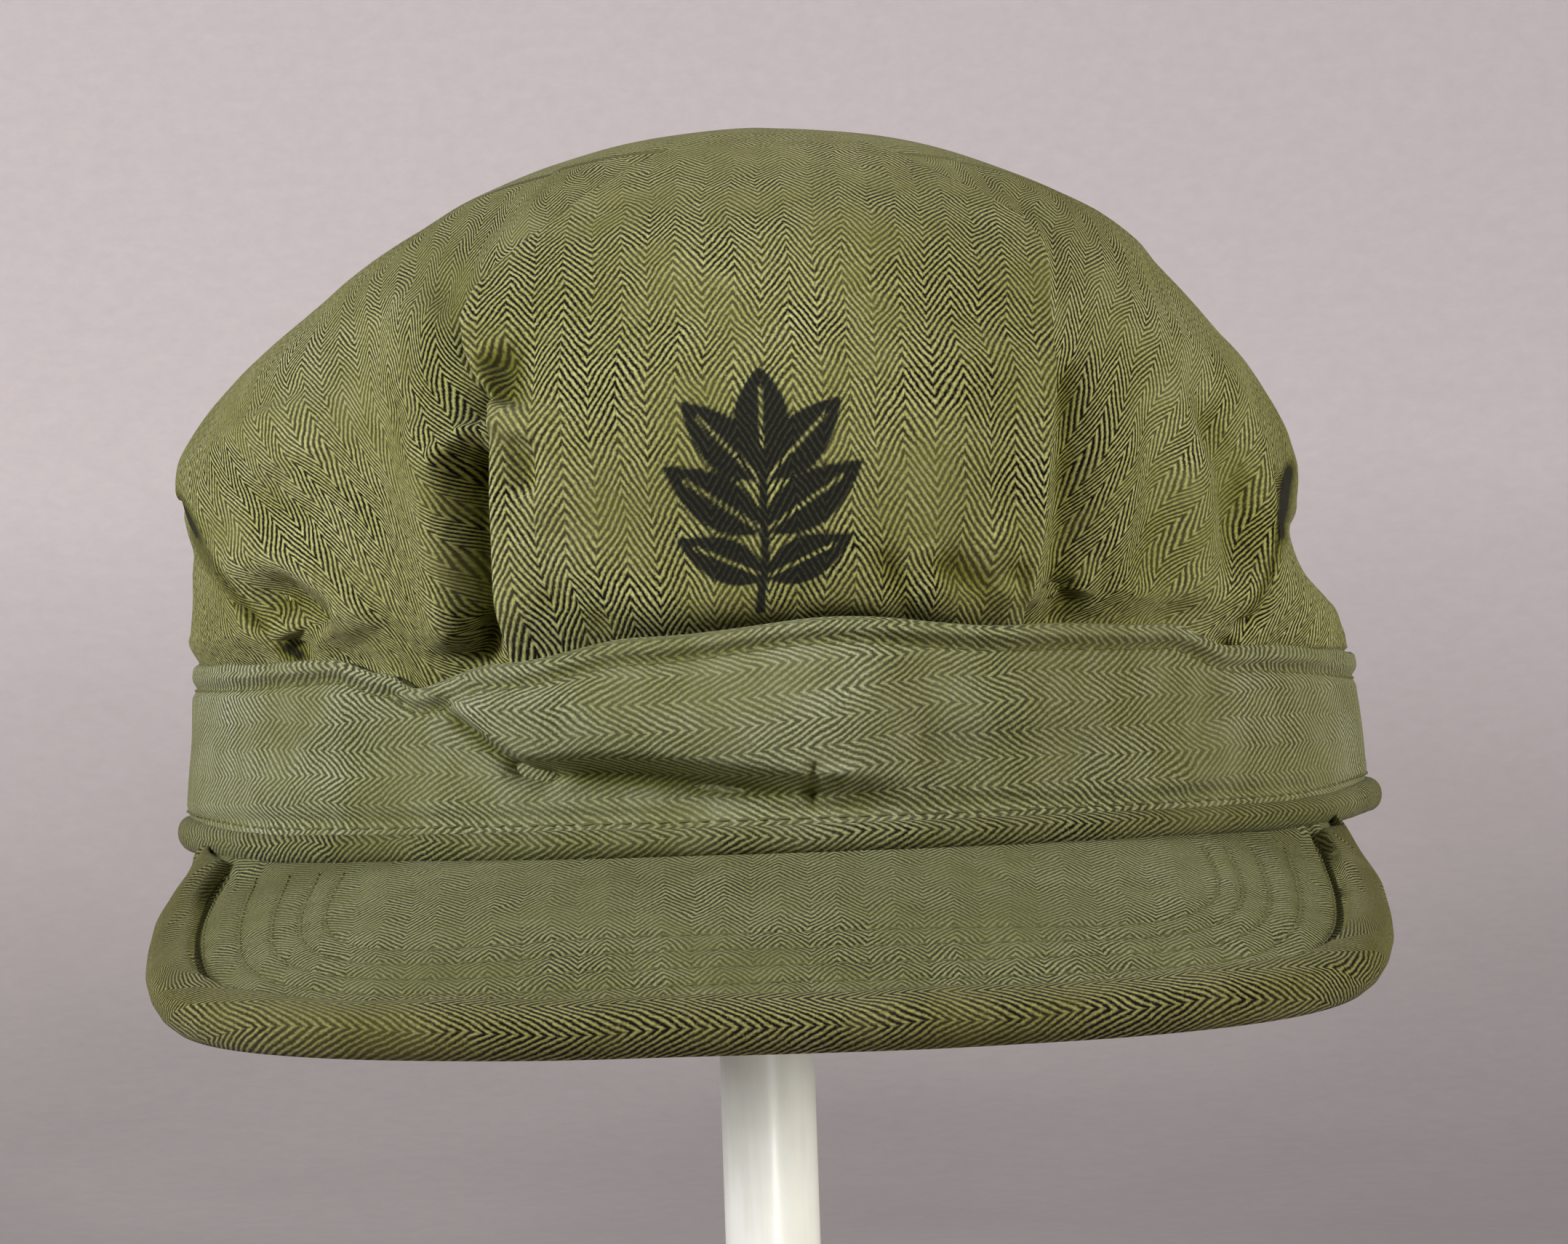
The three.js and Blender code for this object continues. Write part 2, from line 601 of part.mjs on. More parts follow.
function grouped(parts) {
  const group = new THREE.Group();
  for (const [name, geometry, material] of parts) {
    const mesh = new THREE.Mesh(geometry, material);
    mesh.name = name;
    group.add(mesh);
  }
  return group;
}

const capGroup = grouped(capParts);
capGroup.position.set(capOffset, 0, rimHeight);
const root = new THREE.Group();
root.add(capGroup, grouped(standParts));
export default root;
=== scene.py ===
import logging
import math
from dataclasses import dataclass, field
from enum import Enum

import bpy
import numpy as np
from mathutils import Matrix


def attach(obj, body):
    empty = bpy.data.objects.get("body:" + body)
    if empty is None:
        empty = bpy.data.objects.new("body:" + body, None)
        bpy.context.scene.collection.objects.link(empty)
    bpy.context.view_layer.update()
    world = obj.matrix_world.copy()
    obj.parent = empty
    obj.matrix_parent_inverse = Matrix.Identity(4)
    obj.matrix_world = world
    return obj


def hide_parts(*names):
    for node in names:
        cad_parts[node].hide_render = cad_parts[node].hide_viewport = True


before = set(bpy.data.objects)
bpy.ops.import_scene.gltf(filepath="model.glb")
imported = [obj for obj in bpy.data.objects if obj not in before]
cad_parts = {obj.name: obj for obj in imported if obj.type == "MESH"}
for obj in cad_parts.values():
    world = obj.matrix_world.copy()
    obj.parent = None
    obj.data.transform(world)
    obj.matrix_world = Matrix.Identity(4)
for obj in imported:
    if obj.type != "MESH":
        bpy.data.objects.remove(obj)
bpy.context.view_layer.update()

log = logging.getLogger("field cap")

CAP_PLACE = np.array([2.7, 0.0, 203.9])  # the middle of the cap's rim, from the middle of the stand's foot
MILLIMETRE = 0.001


# Numbers
def smooth(value: np.ndarray, low: float, high: float) -> np.ndarray:
    """The numbers eased from 0 at low to 1 at high."""
    share = np.clip((np.asarray(value, float) - low) / (high - low), 0.0, 1.0)
    return share * share * (3 - 2 * share)


def eased_row(values: np.ndarray, s: np.ndarray, level_end: bool = False) -> np.ndarray:
    """Reads a smooth curve with no overshoot through the last axis of a table.

    Args:
        values: the curve's numbers along the last axis, one row for each place.
        s: how far along each row, counted in its steps.
        level_end: whether the curve ends level, as the heights of a domed top do.

    Returns:
        The curve's value at each place.
    """
    last = values.shape[-1] - 1
    i = np.clip(np.floor(s), 0, last - 1).astype(int)
    f = np.clip(s - i, 0, 1)

    def at(k: np.ndarray) -> np.ndarray:
        """The table's numbers k steps along."""
        return np.take_along_axis(values, np.clip(k, 0, last)[..., None], -1)[..., 0]

    def slope(before: np.ndarray, after: np.ndarray) -> np.ndarray:
        """The curve's slope between two steps."""
        same = before * after > 0
        return np.where(same, 2 * before * after / np.where(same, before + after, 1), 0)

    here = at(i + 1) - at(i)
    start = np.where(i == 0, here, slope(at(i) - at(i - 1), here))
    ending = np.zeros_like(here) if level_end else here
    end = np.where(i < last - 1, slope(here, at(i + 2) - at(i + 1)), ending)
    f2, f3 = f * f, f * f * f
    return at(i) + here * (3 * f2 - 2 * f3) + start * (f3 - 2 * f2 + f) + end * (f3 - f2)


def round_table(rows: tuple[tuple[float, ...], ...], column: int, angle: np.ndarray) -> np.ndarray:
    """Reads one column of a table that goes once round the cap.

    Args:
        rows: rows that start with their angle.
        column: which column to read.
        angle: the angles to read it at.

    Returns:
        The column's value at each angle, eased between the rows.
    """
    table = np.array(rows)
    low = table[0, 0]
    a = low + np.mod(angle - low, 360)
    after = np.clip(np.searchsorted(table[:, 0], a, side="right"), 1, len(table) - 1)
    before = after - 1
    span = np.clip((a - table[before, 0]) / (table[after, 0] - table[before, 0]), 0, 1)
    share = span * span * (3 - 2 * span)
    return table[before, column] * (1 - share) + table[after, column] * share


def ripple(points: np.ndarray, length: float, seed: int) -> np.ndarray:
    """A soft random wave over the cloth, the same each time.

    Args:
        points: places in millimetres, on the last axis.
        length: about how far apart its crests are.
        seed: which wave.

    Returns:
        A number from about -1 to 1 at each place.
    """
    draw = np.random.default_rng(seed)
    total = np.zeros(points.shape[:-1])
    for _ in range(9):
        way = draw.normal(size=3)
        way *= 2 * math.pi / (length * draw.uniform(0.7, 1.5) * np.linalg.norm(way))
        total += np.sin(points @ way + draw.uniform(0, 2 * math.pi))
    return total / 4


def unit(vectors: np.ndarray) -> np.ndarray:
    """The vectors, each made one long."""
    return vectors / np.maximum(np.linalg.norm(vectors, axis=-1, keepdims=True), 1e-12)


def arc_lengths(points: np.ndarray, axis: int) -> np.ndarray:
    """How far along a grid's lines each point is, measured on the cloth.

    Args:
        points: places, with the coordinates on the last axis.
        axis: the axis that the lines run along.

    Returns:
        The length from each line's start to each point.
    """
    steps = np.linalg.norm(np.diff(points, axis=axis), axis=-1)
    lengths = np.cumsum(steps, axis=axis)
    first = np.zeros_like(np.take(lengths, [0], axis=axis))
    return np.concatenate([first, lengths], axis=axis)


def spread(values: np.ndarray, reach: int, axis: int, around: bool) -> np.ndarray:
    """Averages a grid's numbers with their neighbours along one axis.

    Args:
        values: rows of columns of numbers.
        reach: how many neighbours on each side.
        axis: along which axis.
        around: whether that axis closes into a ring.

    Returns:
        The averaged numbers.
    """
    pad = [(0, 0), (0, 0)]
    pad[axis] = (reach, reach)
    padded = np.pad(values, pad, "wrap" if around else "edge")
    total = sum(np.take(padded, range(k, k + values.shape[axis]), axis=axis) for k in range(2 * reach + 1))
    return total / (2 * reach + 1)


def grid_normals(points: np.ndarray, around: bool) -> np.ndarray:
    """The way out of a grid of points, rows up the cloth and columns along it.

    Args:
        points: rows of columns of places.
        around: whether the columns close into a ring.

    Returns:
        One unit vector for each point.
    """
    if around:
        along = np.roll(points, -1, axis=1) - np.roll(points, 1, axis=1)
    else:
        along = np.gradient(points, axis=1)
    return unit(np.cross(along, np.gradient(points, axis=0)))


def relief(points: np.ndarray, up_reach: int, along_reach: int, around: bool) -> np.ndarray:
    """How far a grid's points stand out from the cloth round them.

    Args:
        points: rows of columns of places.
        up_reach: how many rows each way count as round a point.
        along_reach: how many columns each way.
        around: whether the columns close into a ring.

    Returns:
        Millimetres, minus in a hollow.
    """
    flat = points
    for axis, reach, ring in ((0, up_reach, False), (1, along_reach, around)):
        flat = np.stack([spread(flat[..., k], reach, axis, ring) for k in range(3)], -1)
    return ((points - flat) * grid_normals(points, around)).sum(-1)


# Meshes
@dataclass
class Sheet:
    """Points, faces and cloth places of one piece, gathered grid by grid."""

    points: list[np.ndarray] = field(default_factory=list)
    cloth: list[np.ndarray] = field(default_factory=list)
    faces: list[np.ndarray] = field(default_factory=list)
    reliefs: list[np.ndarray] = field(default_factory=list)
    count: int = 0

    def add_points(
        self, points: np.ndarray, cloth: np.ndarray, stands: np.ndarray | float = 0.0
    ) -> np.ndarray:
        """Adds points and gives back their numbers, in the shape they came in.

        Args:
            points: places in millimetres.
            cloth: where each lies on the flat cloth, in millimetres.
            stands: how far each stands out from the cloth round it, with any painted crease shadows added;
                the cloth's finish paints shade in the hollows from it.

        Returns:
            The number of each point.
        """
        shape = points.shape[:-1]
        total = int(np.prod(shape))
        self.points.append(points.reshape(-1, 3))
        self.cloth.append(np.broadcast_to(cloth, points.shape).reshape(-1, 3))
        self.reliefs.append(np.broadcast_to(stands, shape).ravel())
        numbers = np.arange(self.count, self.count + total).reshape(shape)
        self.count += total
        return numbers

    def add_grid(self, numbers: np.ndarray, around: bool = False, inside: bool = False) -> None:
        """Joins rows of columns of points with faces.

        Args:
            numbers: the points' numbers, rows up the cloth and columns along it.
            around: whether the columns close into a ring.
            inside: whether the faces look the other way.
        """
        right = np.roll(numbers, -1, axis=1) if around else numbers[:, 1:]
        left = numbers if around else numbers[:, :-1]
        corners = [left[:-1], right[:-1], right[1:], left[1:]]
        if inside:
            corners.reverse()
        self.faces.append(np.stack(corners, -1).reshape(-1, 4))

    def add_tip(self, row: np.ndarray, tip: int, inside: bool = False) -> None:
        """Closes a ring of points with triangles to one point.

        Args:
            row: the ring's point numbers.
            tip: the number of the point in its middle.
            inside: whether the triangles look the other way.
        """
        ahead = np.roll(row, -1)
        middle = np.full(len(row), tip)
        corners = [ahead, row, middle] if inside else [row, ahead, middle]
        self.faces.append(np.stack(corners, -1))

    def mesh(self, name: str) -> bpy.types.Mesh:
        """Makes the Blender mesh, in metres and in its place on the stand.

        Args:
            name: the piece's name.

        Returns:
            The mesh, smooth shaded, with its cloth places.
        """
        made = bpy.data.meshes.new(name)
        places = (np.concatenate(self.points) + CAP_PLACE) * MILLIMETRE
        faces = [face for block in self.faces for face in block.tolist()]
        made.from_pydata(places.tolist(), [], faces)
        made.polygons.foreach_set("use_smooth", np.ones(len(faces), dtype=bool))
        layer = made.attributes.new("cloth_mm", "FLOAT_VECTOR", "POINT")
        layer.data.foreach_set("vector", np.concatenate(self.cloth).astype(np.float32).ravel())
        # fold_mm: the relief and the painted crease shadows, which the cloth's finish turns into painted
        # shade
        layer = made.attributes.new("fold_mm", "FLOAT", "POINT")
        layer.data.foreach_set("value", np.concatenate(self.reliefs).astype(np.float32))
        made.update()
        return made


def dress(
    name: str, mesh: bpy.types.Mesh, finish: bpy.types.Material, nodes: tuple[str, ...]
) -> bpy.types.Object:
    """Puts a piece in the scene with its finish and ties it to the model.

    Args:
        name: the piece's name.
        mesh: its mesh.
        finish: its material.
        nodes: the solids that it stands for.

    Returns:
        The piece.
    """
    piece = bpy.data.objects.new(name, mesh)
    bpy.context.scene.collection.objects.link(piece)
    mesh.materials.append(finish)
    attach(piece, "root")
    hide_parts(*nodes)
    mesh.calc_loop_triangles()
    log.info("%s: %d triangles", name, len(mesh.loop_triangles))
    return piece


# Finishes
@dataclass
class Shader:
    """A material being made, with short ways to add its nodes."""

    name: str

    def __post_init__(self) -> None:
        """Starts the material with its surface shader."""
        self.material = bpy.data.materials.new(self.name)
        self.material.use_nodes = True
        self.tree = self.material.node_tree
        self.surface = self.tree.nodes["Principled BSDF"]

    def feed(self, socket: bpy.types.NodeSocket, value: object) -> None:
        """Links a socket to another's output, or sets it to a plain value.

        Args:
            socket: the socket that is fed.
            value: an output socket, a number, a colour or a vector.
        """
        if isinstance(value, bpy.types.NodeSocket):
            self.tree.links.new(value, socket)
        else:
            socket.default_value = value

    def node(
        self, kind: str, inputs: dict[object, object] | None = None, **settings: object
    ) -> bpy.types.Node:
        """Adds a node.

        Args:
            kind: the node's type.
            inputs: what feeds each of its sockets.
            settings: the node's own settings.

        Returns:
            The node.
        """
        made = self.tree.nodes.new(kind)
        for key, value in settings.items():
            setattr(made, key, value)
        for key, value in (inputs or {}).items():
            self.feed(made.inputs[key], value)
        return made

    def math(self, operation: str, *values: object) -> bpy.types.NodeSocket:
        """Adds one sum and gives back its result."""
        return self.node("ShaderNodeMath", dict(enumerate(values)), operation=operation).outputs[0]

    def scaled(self, value: object, from_low: float, from_high: float, low: float, high: float) -> object:
        """Adds a range change, held to its ends, and gives back its result."""
        inputs = {0: value, 1: from_low, 2: from_high, 3: low, 4: high}
        return self.node("ShaderNodeMapRange", inputs, clamp=True).outputs[0]

    def mixed(self, share: object, first: object, second: object, blend: str = "MIX") -> object:
        """Adds a mix of two colours.

        Args:
            share: how much of the second colour there is.
            first: the first colour.
            second: the second colour.
            blend: how the second is laid on the first.

        Returns:
            The output with the mixed colour.
        """
        inputs = {0: share, 6: first, 7: second}
        node = self.node("ShaderNodeMix", data_type="RGBA", blend_type=blend)
        for key, value in inputs.items():
            self.feed(node.inputs[key], value)
        return node.outputs[2]

    def noise(self, vector: object, scale: float, detail: float = 2.0, rough: float = 0.5) -> object:
        """Adds a noise and gives back its value."""
        inputs = {"Vector": vector, "Scale": scale, "Detail": detail, "Roughness": rough}
        return self.node("ShaderNodeTexNoise", inputs).outputs[0]


Colour = tuple[float, float, float]


def linear(colour: Colour) -> tuple[float, float, float, float]:
    """A colour given as screen shares from 0 to 255, as the shader wants it."""
    shares = [c / 255 for c in colour]
    return (*[s / 12.92 if s <= 0.04045 else ((s + 0.055) / 1.055) ** 2.4 for s in shares], 1.0)


class Weave(Enum):
    """How the cloth's herringbone columns run on a piece."""

    UPRIGHT = "upright"
    LEVEL = "level"


@dataclass(frozen=True)
class HerringboneCloth:
    """Faded herringbone cotton."""

    name: str
    light: Colour
    dark: Colour
    weave: Weave = Weave.UPRIGHT
    column: float = 3.65  # width of one column of the weave
    pitch: float = 1.5  # from one rib to the next, along the column
    slope: float = 1.68  # how steeply the ribs run
    thread: float = 0.62  # from one thread to the next
    contrast: float = 1.0
    mottle: float = 0.2  # how patchily the cloth has faded
    deep: float = 1.9  # how far below the cloth round it a hollow is at its full shade
    hollow_shade: float = 0.54
    slot_shade: float = 0.1  # how much light is left in the slots between two folds
    slot_depths: tuple[float, float] = (-6.5, -3.2)
    printed: bool = False
    ink: Colour = (27, 27, 24)

    def made(self) -> bpy.types.Material:
        """Makes the material.

        Returns:
            The finished material.
        """
        s = Shader(self.name)
        place = s.node("ShaderNodeAttribute", attribute_name="cloth_mm").outputs["Vector"]
        parts = s.node("ShaderNodeSeparateXYZ", {0: place}).outputs
        level = self.weave is Weave.LEVEL
        across, along = (parts[1], parts[0]) if level else (parts[0], parts[1])
        drift = s.noise(place, 0.09, 2.0)
        shake = s.noise(place, 0.7, 2.0)
        across = s.math("ADD", across, s.scaled(drift, 0.25, 0.75, -0.7, 0.7))
        along = s.math("ADD", along, s.scaled(shake, 0.2, 0.8, -0.16, 0.16))
        turn = s.math("FRACT", s.math("DIVIDE", across, 2 * self.column))
        zigzag = s.math("MULTIPLY", s.math("ABSOLUTE", s.math("SUBTRACT", turn, 0.5)), 2 * self.column)
        phase = s.math("DIVIDE", s.math("MULTIPLY_ADD", zigzag, self.slope, along), self.pitch)
        wave = s.math("SINE", s.math("MULTIPLY", phase, 2 * math.pi))
        speck = s.scaled(s.noise(place, 2.3, 3.0, 0.75), 0.3, 0.7, -0.62, 0.62)
        thread = s.math("SINE", s.math("MULTIPLY", across, 2 * math.pi / self.thread))
        broken = s.math("MULTIPLY", wave, s.math("MULTIPLY_ADD", thread, 0.22, 0.82))
        rib = s.math("ADD", speck, broken)
        height = s.scaled(rib, -0.52, 0.9, 0.0, 1.0)
        patch = s.noise(place, 0.055, 3.0, 0.6)
        strength = s.scaled(patch, 0.36, 0.62, 0.58 * self.contrast, 1.12 * self.contrast)
        centred = s.math("MULTIPLY_ADD", s.math("SUBTRACT", height, 0.5), strength, 0.5)
        cloth = s.mixed(centred, linear(self.dark), linear(self.light))
        # Every other column catches the light a little more
        lit = s.scaled(s.math("SUBTRACT", turn, 0.5), -0.02, 0.02, 0.975, 1.025)
        fade = s.scaled(s.noise(place, 0.028, 4.0, 0.6), 0.3, 0.7, 1 - self.mottle, 1 + self.mottle)
        # Painted shade darkens the cloth in its hollows, and almost to black in the slots between folds; the
        # ridges are a little paler, partly worn and partly painted highlight
        fold = s.node("ShaderNodeAttribute", attribute_name="fold_mm").outputs["Fac"]
        hollow = s.scaled(fold, -self.deep, -0.1, self.hollow_shade, 1.0)
        slot = s.scaled(fold, *self.slot_depths, self.slot_shade, 1.0)
        fold_shade_and_wear = s.math("MULTIPLY", s.math("MULTIPLY", hollow, slot), s.scaled(fold, 0.15, 1.6, 1.0, 1.1))
        small = s.scaled(s.noise(place, 0.16, 3.0, 0.65), 0.3, 0.7, 0.9, 1.1)
        shade = s.math("MULTIPLY", s.math("MULTIPLY", lit, fade), s.math("MULTIPLY", fold_shade_and_wear, small))
        tone = s.node("ShaderNodeCombineColor", {0: shade, 1: shade, 2: s.math("MULTIPLY", shade, shade)})
        cloth = s.mixed(1.0, cloth, tone.outputs[0], "MULTIPLY")
        if self.printed:
            ink = s.node("ShaderNodeAttribute", attribute_name="ink").outputs["Fac"]
            bare = s.scaled(height, 0.0, 1.0, 1.0, 0.94)
            cloth = s.mixed(s.math("MULTIPLY", ink, bare), cloth, linear(self.ink))
        s.feed(s.surface.inputs["Base Color"], cloth)
        s.feed(s.surface.inputs["Roughness"], s.scaled(height, 0, 1, 0.97, 0.86))
        s.surface.inputs["Specular IOR Level"].default_value = 0.18
        s.surface.inputs["Sheen Weight"].default_value = 0.06
        s.surface.inputs["Sheen Roughness"].default_value = 0.6
        bump = s.node("ShaderNodeBump", {"Height": height, "Strength": 0.55, "Distance": 0.00022})
        s.feed(s.surface.inputs["Normal"], bump.outputs[0])
        return s.material


CROWN_LIGHT = (206, 204, 126)
CROWN_DARK = (11, 9, 3)


@dataclass(frozen=True)
class SewingThread:
    """Matt cotton thread, twisted."""

    name: str = "sewing_thread"
    colour: Colour = (114, 112, 70)

    def made(self) -> bpy.types.Material:
        """Makes the material.

        Returns:
            The finished material.
        """
        s = Shader(self.name)
        place = s.node("ShaderNodeTexCoord").outputs["Object"]
        twist = s.noise(place, 2600.0, 2.0)
        deep, pale = [linear(tuple(c * share for c in self.colour)) for share in (0.72, 1.18)]
        s.feed(s.surface.inputs["Base Color"], s.mixed(twist, deep, pale))
        s.surface.inputs["Roughness"].default_value = 0.85
        bump = s.node("ShaderNodeBump", {"Height": twist, "Strength": 0.4, "Distance": 0.00005})
        s.feed(s.surface.inputs["Normal"], bump.outputs[0])
        return s.material


@dataclass(frozen=True)
class MilkyPlastic:
    """Clouded plastic with faint flow lines and light scuffs."""

    name: str = "milky_plastic"
    colour: Colour = (250, 249, 240)
    flow: Colour = (205, 203, 186)

    def made(self) -> bpy.types.Material:
        """Makes the material.

        Returns:
            The finished material.
        """
        s = Shader(self.name)
        place = s.node("ShaderNodeTexCoord").outputs["Object"]
        drawn = s.node("ShaderNodeMapping", {"Vector": place, "Scale": (1.0, 1.0, 0.08)}).outputs[0]
        streak = s.noise(drawn, 420.0, 3.0, 0.6)
        cloud = s.noise(place, 38.0, 3.0, 0.55)
        deep, pale = [linear(tuple(c * share for c in self.colour)) for share in (0.93, 1.03)]
        body = s.mixed(s.scaled(cloud, 0.3, 0.7, 0, 1), deep, pale)
        body = s.mixed(s.scaled(streak, 0.45, 0.75, 0, 0.35), body, linear(self.flow))
        s.feed(s.surface.inputs["Base Color"], body)
        s.feed(s.surface.inputs["Roughness"], s.scaled(streak, 0.3, 0.7, 0.3, 0.46))
        s.surface.inputs["Subsurface Weight"].default_value = 0.25
        s.surface.inputs["Subsurface Radius"].default_value = (1.0, 0.9, 0.7)
        s.surface.inputs["Subsurface Scale"].default_value = 0.004
        s.surface.inputs["IOR"].default_value = 1.49
        bump = s.node("ShaderNodeBump", {"Height": streak, "Strength": 0.08, "Distance": 0.0001})
        s.feed(s.surface.inputs["Normal"], bump.outputs[0])
        return s.material


@dataclass(frozen=True)
class PaleBackdrop:
    """Matt pale paper, with painted light: paler high on the wall and darker towards the floor."""

    name: str = "pale_backdrop"
    # the painted light's two ends: the paper's colour high on the wall and near the floor
    high: Colour = (226, 216, 217)
    low: Colour = (140, 134, 133)

    def made(self) -> bpy.types.Material:
        """Makes the material.

        Returns:
            The finished material.
        """
        s = Shader(self.name)
        place = s.node("ShaderNodeTexCoord").outputs["Object"]
        parts = s.node("ShaderNodeSeparateXYZ", {0: place}).outputs
        cloud = s.noise(place, 3.0, 2.0)
        # painted light, paler with height and a little cloudy
        rise = s.math("MULTIPLY_ADD", s.scaled(cloud, 0.3, 0.7, -0.5, 0.5), 0.05, parts[2])
        paper = s.mixed(s.scaled(rise, -0.05, 0.3, 0, 1), linear(self.low), linear(self.high))
        grain = s.scaled(s.noise(place, 110.0, 4.0, 0.7), 0.3, 0.7, 0.965, 1.035)
        tone = s.node("ShaderNodeCombineColor", {0: grain, 1: grain, 2: grain}).outputs[0]
        s.feed(s.surface.inputs["Base Color"], s.mixed(1.0, paper, tone, "MULTIPLY"))
        s.surface.inputs["Roughness"].default_value = 0.95
        return s.material


# Folds
class Profile(Enum):
    """The shape of a fold across its line."""

    RIDGE = "stands out or lies back on both sides of its line"
    STEP = "the cloth on the line's left is carried out, and falls away slowly"


VIEW_DISTANCE = 1300.0  # fold lines are given as they show from this far in front of the cap's middle
VIEW_MIDDLE = (1.7, 29.0)


def seen_from_front(points: np.ndarray) -> np.ndarray:
    """Where places show from in front, as millimetres across and up.

    Args:
        points: places in millimetres from the rim's middle.

    Returns:
        Pairs of across and up.
    """
    nearer = VIEW_DISTANCE / (points[..., 1] + VIEW_DISTANCE)
    across = VIEW_MIDDLE[0] + (points[..., 0] - VIEW_MIDDLE[0]) * nearer
    up = VIEW_MIDDLE[1] + (points[..., 2] - VIEW_MIDDLE[1]) * nearer
    return np.stack([across, up], -1)


@dataclass(frozen=True)
class Fold:
    """One fold, crease or dent of the cloth, along a line as it shows from in front."""

    name: str
    line: tuple[tuple[float, float], ...]
    out: float  # how far it stands out, minus for a hollow
    left: float  # width of the flank on the line's left, going along it
    right: float
    profile: Profile = Profile.RIDGE
    fall: float = 20.0  # how far a step's carried cloth reaches
    taper: float = 0.25  # the share of the line at each end over which the fold fades
    sag: float = 0.0  # how far the cloth slides down where the fold is full

    def path(self) -> np.ndarray:
        """The line, smoothed into short steps.

        Returns:
            Pairs of across and up.
        """
        knots = np.array(self.line, float)
        if len(knots) < 3:
            return np.linspace(knots[0], knots[-1] + 1e-6, 5)
        s = np.linspace(0, len(knots) - 1, 6 * (len(knots) - 1) + 1)
        return np.stack([eased_row(np.tile(knots[:, k], (len(s), 1)), s) for k in (0, 1)], -1)

    def share(self, seen: np.ndarray) -> np.ndarray:
        """How much of the fold there is at each place.

        Args:
            seen: places across and up, as they show from in front.

        Returns:
            The fold's strength, at most 1.
        """
        path = self.path()
        flat = seen.reshape(-1, 2)
        best = np.full(len(flat), 1e9)
        side = np.zeros(len(flat))
        along = np.zeros(len(flat))
        for k in range(len(path) - 1):
            way = path[k + 1] - path[k]
            from_start = flat - path[k]
            t = np.clip(from_start @ way / (way @ way), 0, 1)
            apart = from_start - t[:, None] * way
            distance = (apart**2).sum(-1)
            nearer = distance < best
            turn = way[0] * from_start[:, 1] - way[1] * from_start[:, 0]
            side = np.where(nearer, np.sign(turn) * np.sqrt(distance), side)
            along = np.where(nearer, (k + t) / (len(path) - 1), along)
            best = np.where(nearer, distance, best)
        ends = 1.0
        if self.taper > 0:
            ends = smooth(along, -0.02, self.taper) * smooth(1 - along, -0.02, self.taper)
        if self.profile is Profile.STEP:
            rise = smooth(side, -self.right, self.left)
            amount = rise * np.exp(-((np.maximum(side, 0) / self.fall) ** 2))
            amount = np.where(np.abs(side) > np.sqrt(best) - 1e-6, amount, 0)
            return (amount * ends).reshape(seen.shape[:-1])
        width = np.where(side > 0, self.left, self.right)
        return (np.exp(-((side / width) ** 2)) * ends).reshape(seen.shape[:-1])


def folded(folds: tuple[Fold, ...], seen: np.ndarray) -> tuple[np.ndarray, np.ndarray]:
    """Adds up folds.

    Args:
        folds: the folds.
        seen: places as they show from in front.

    Returns:
        How far the cloth stands out, and how far it slides down, at each place.
    """
    out = np.zeros(seen.shape[:-1])
    sag = np.zeros(seen.shape[:-1])
    for fold in folds:
        share = fold.share(seen)
        out += fold.out * share
        sag += fold.sag * share
    return out, sag


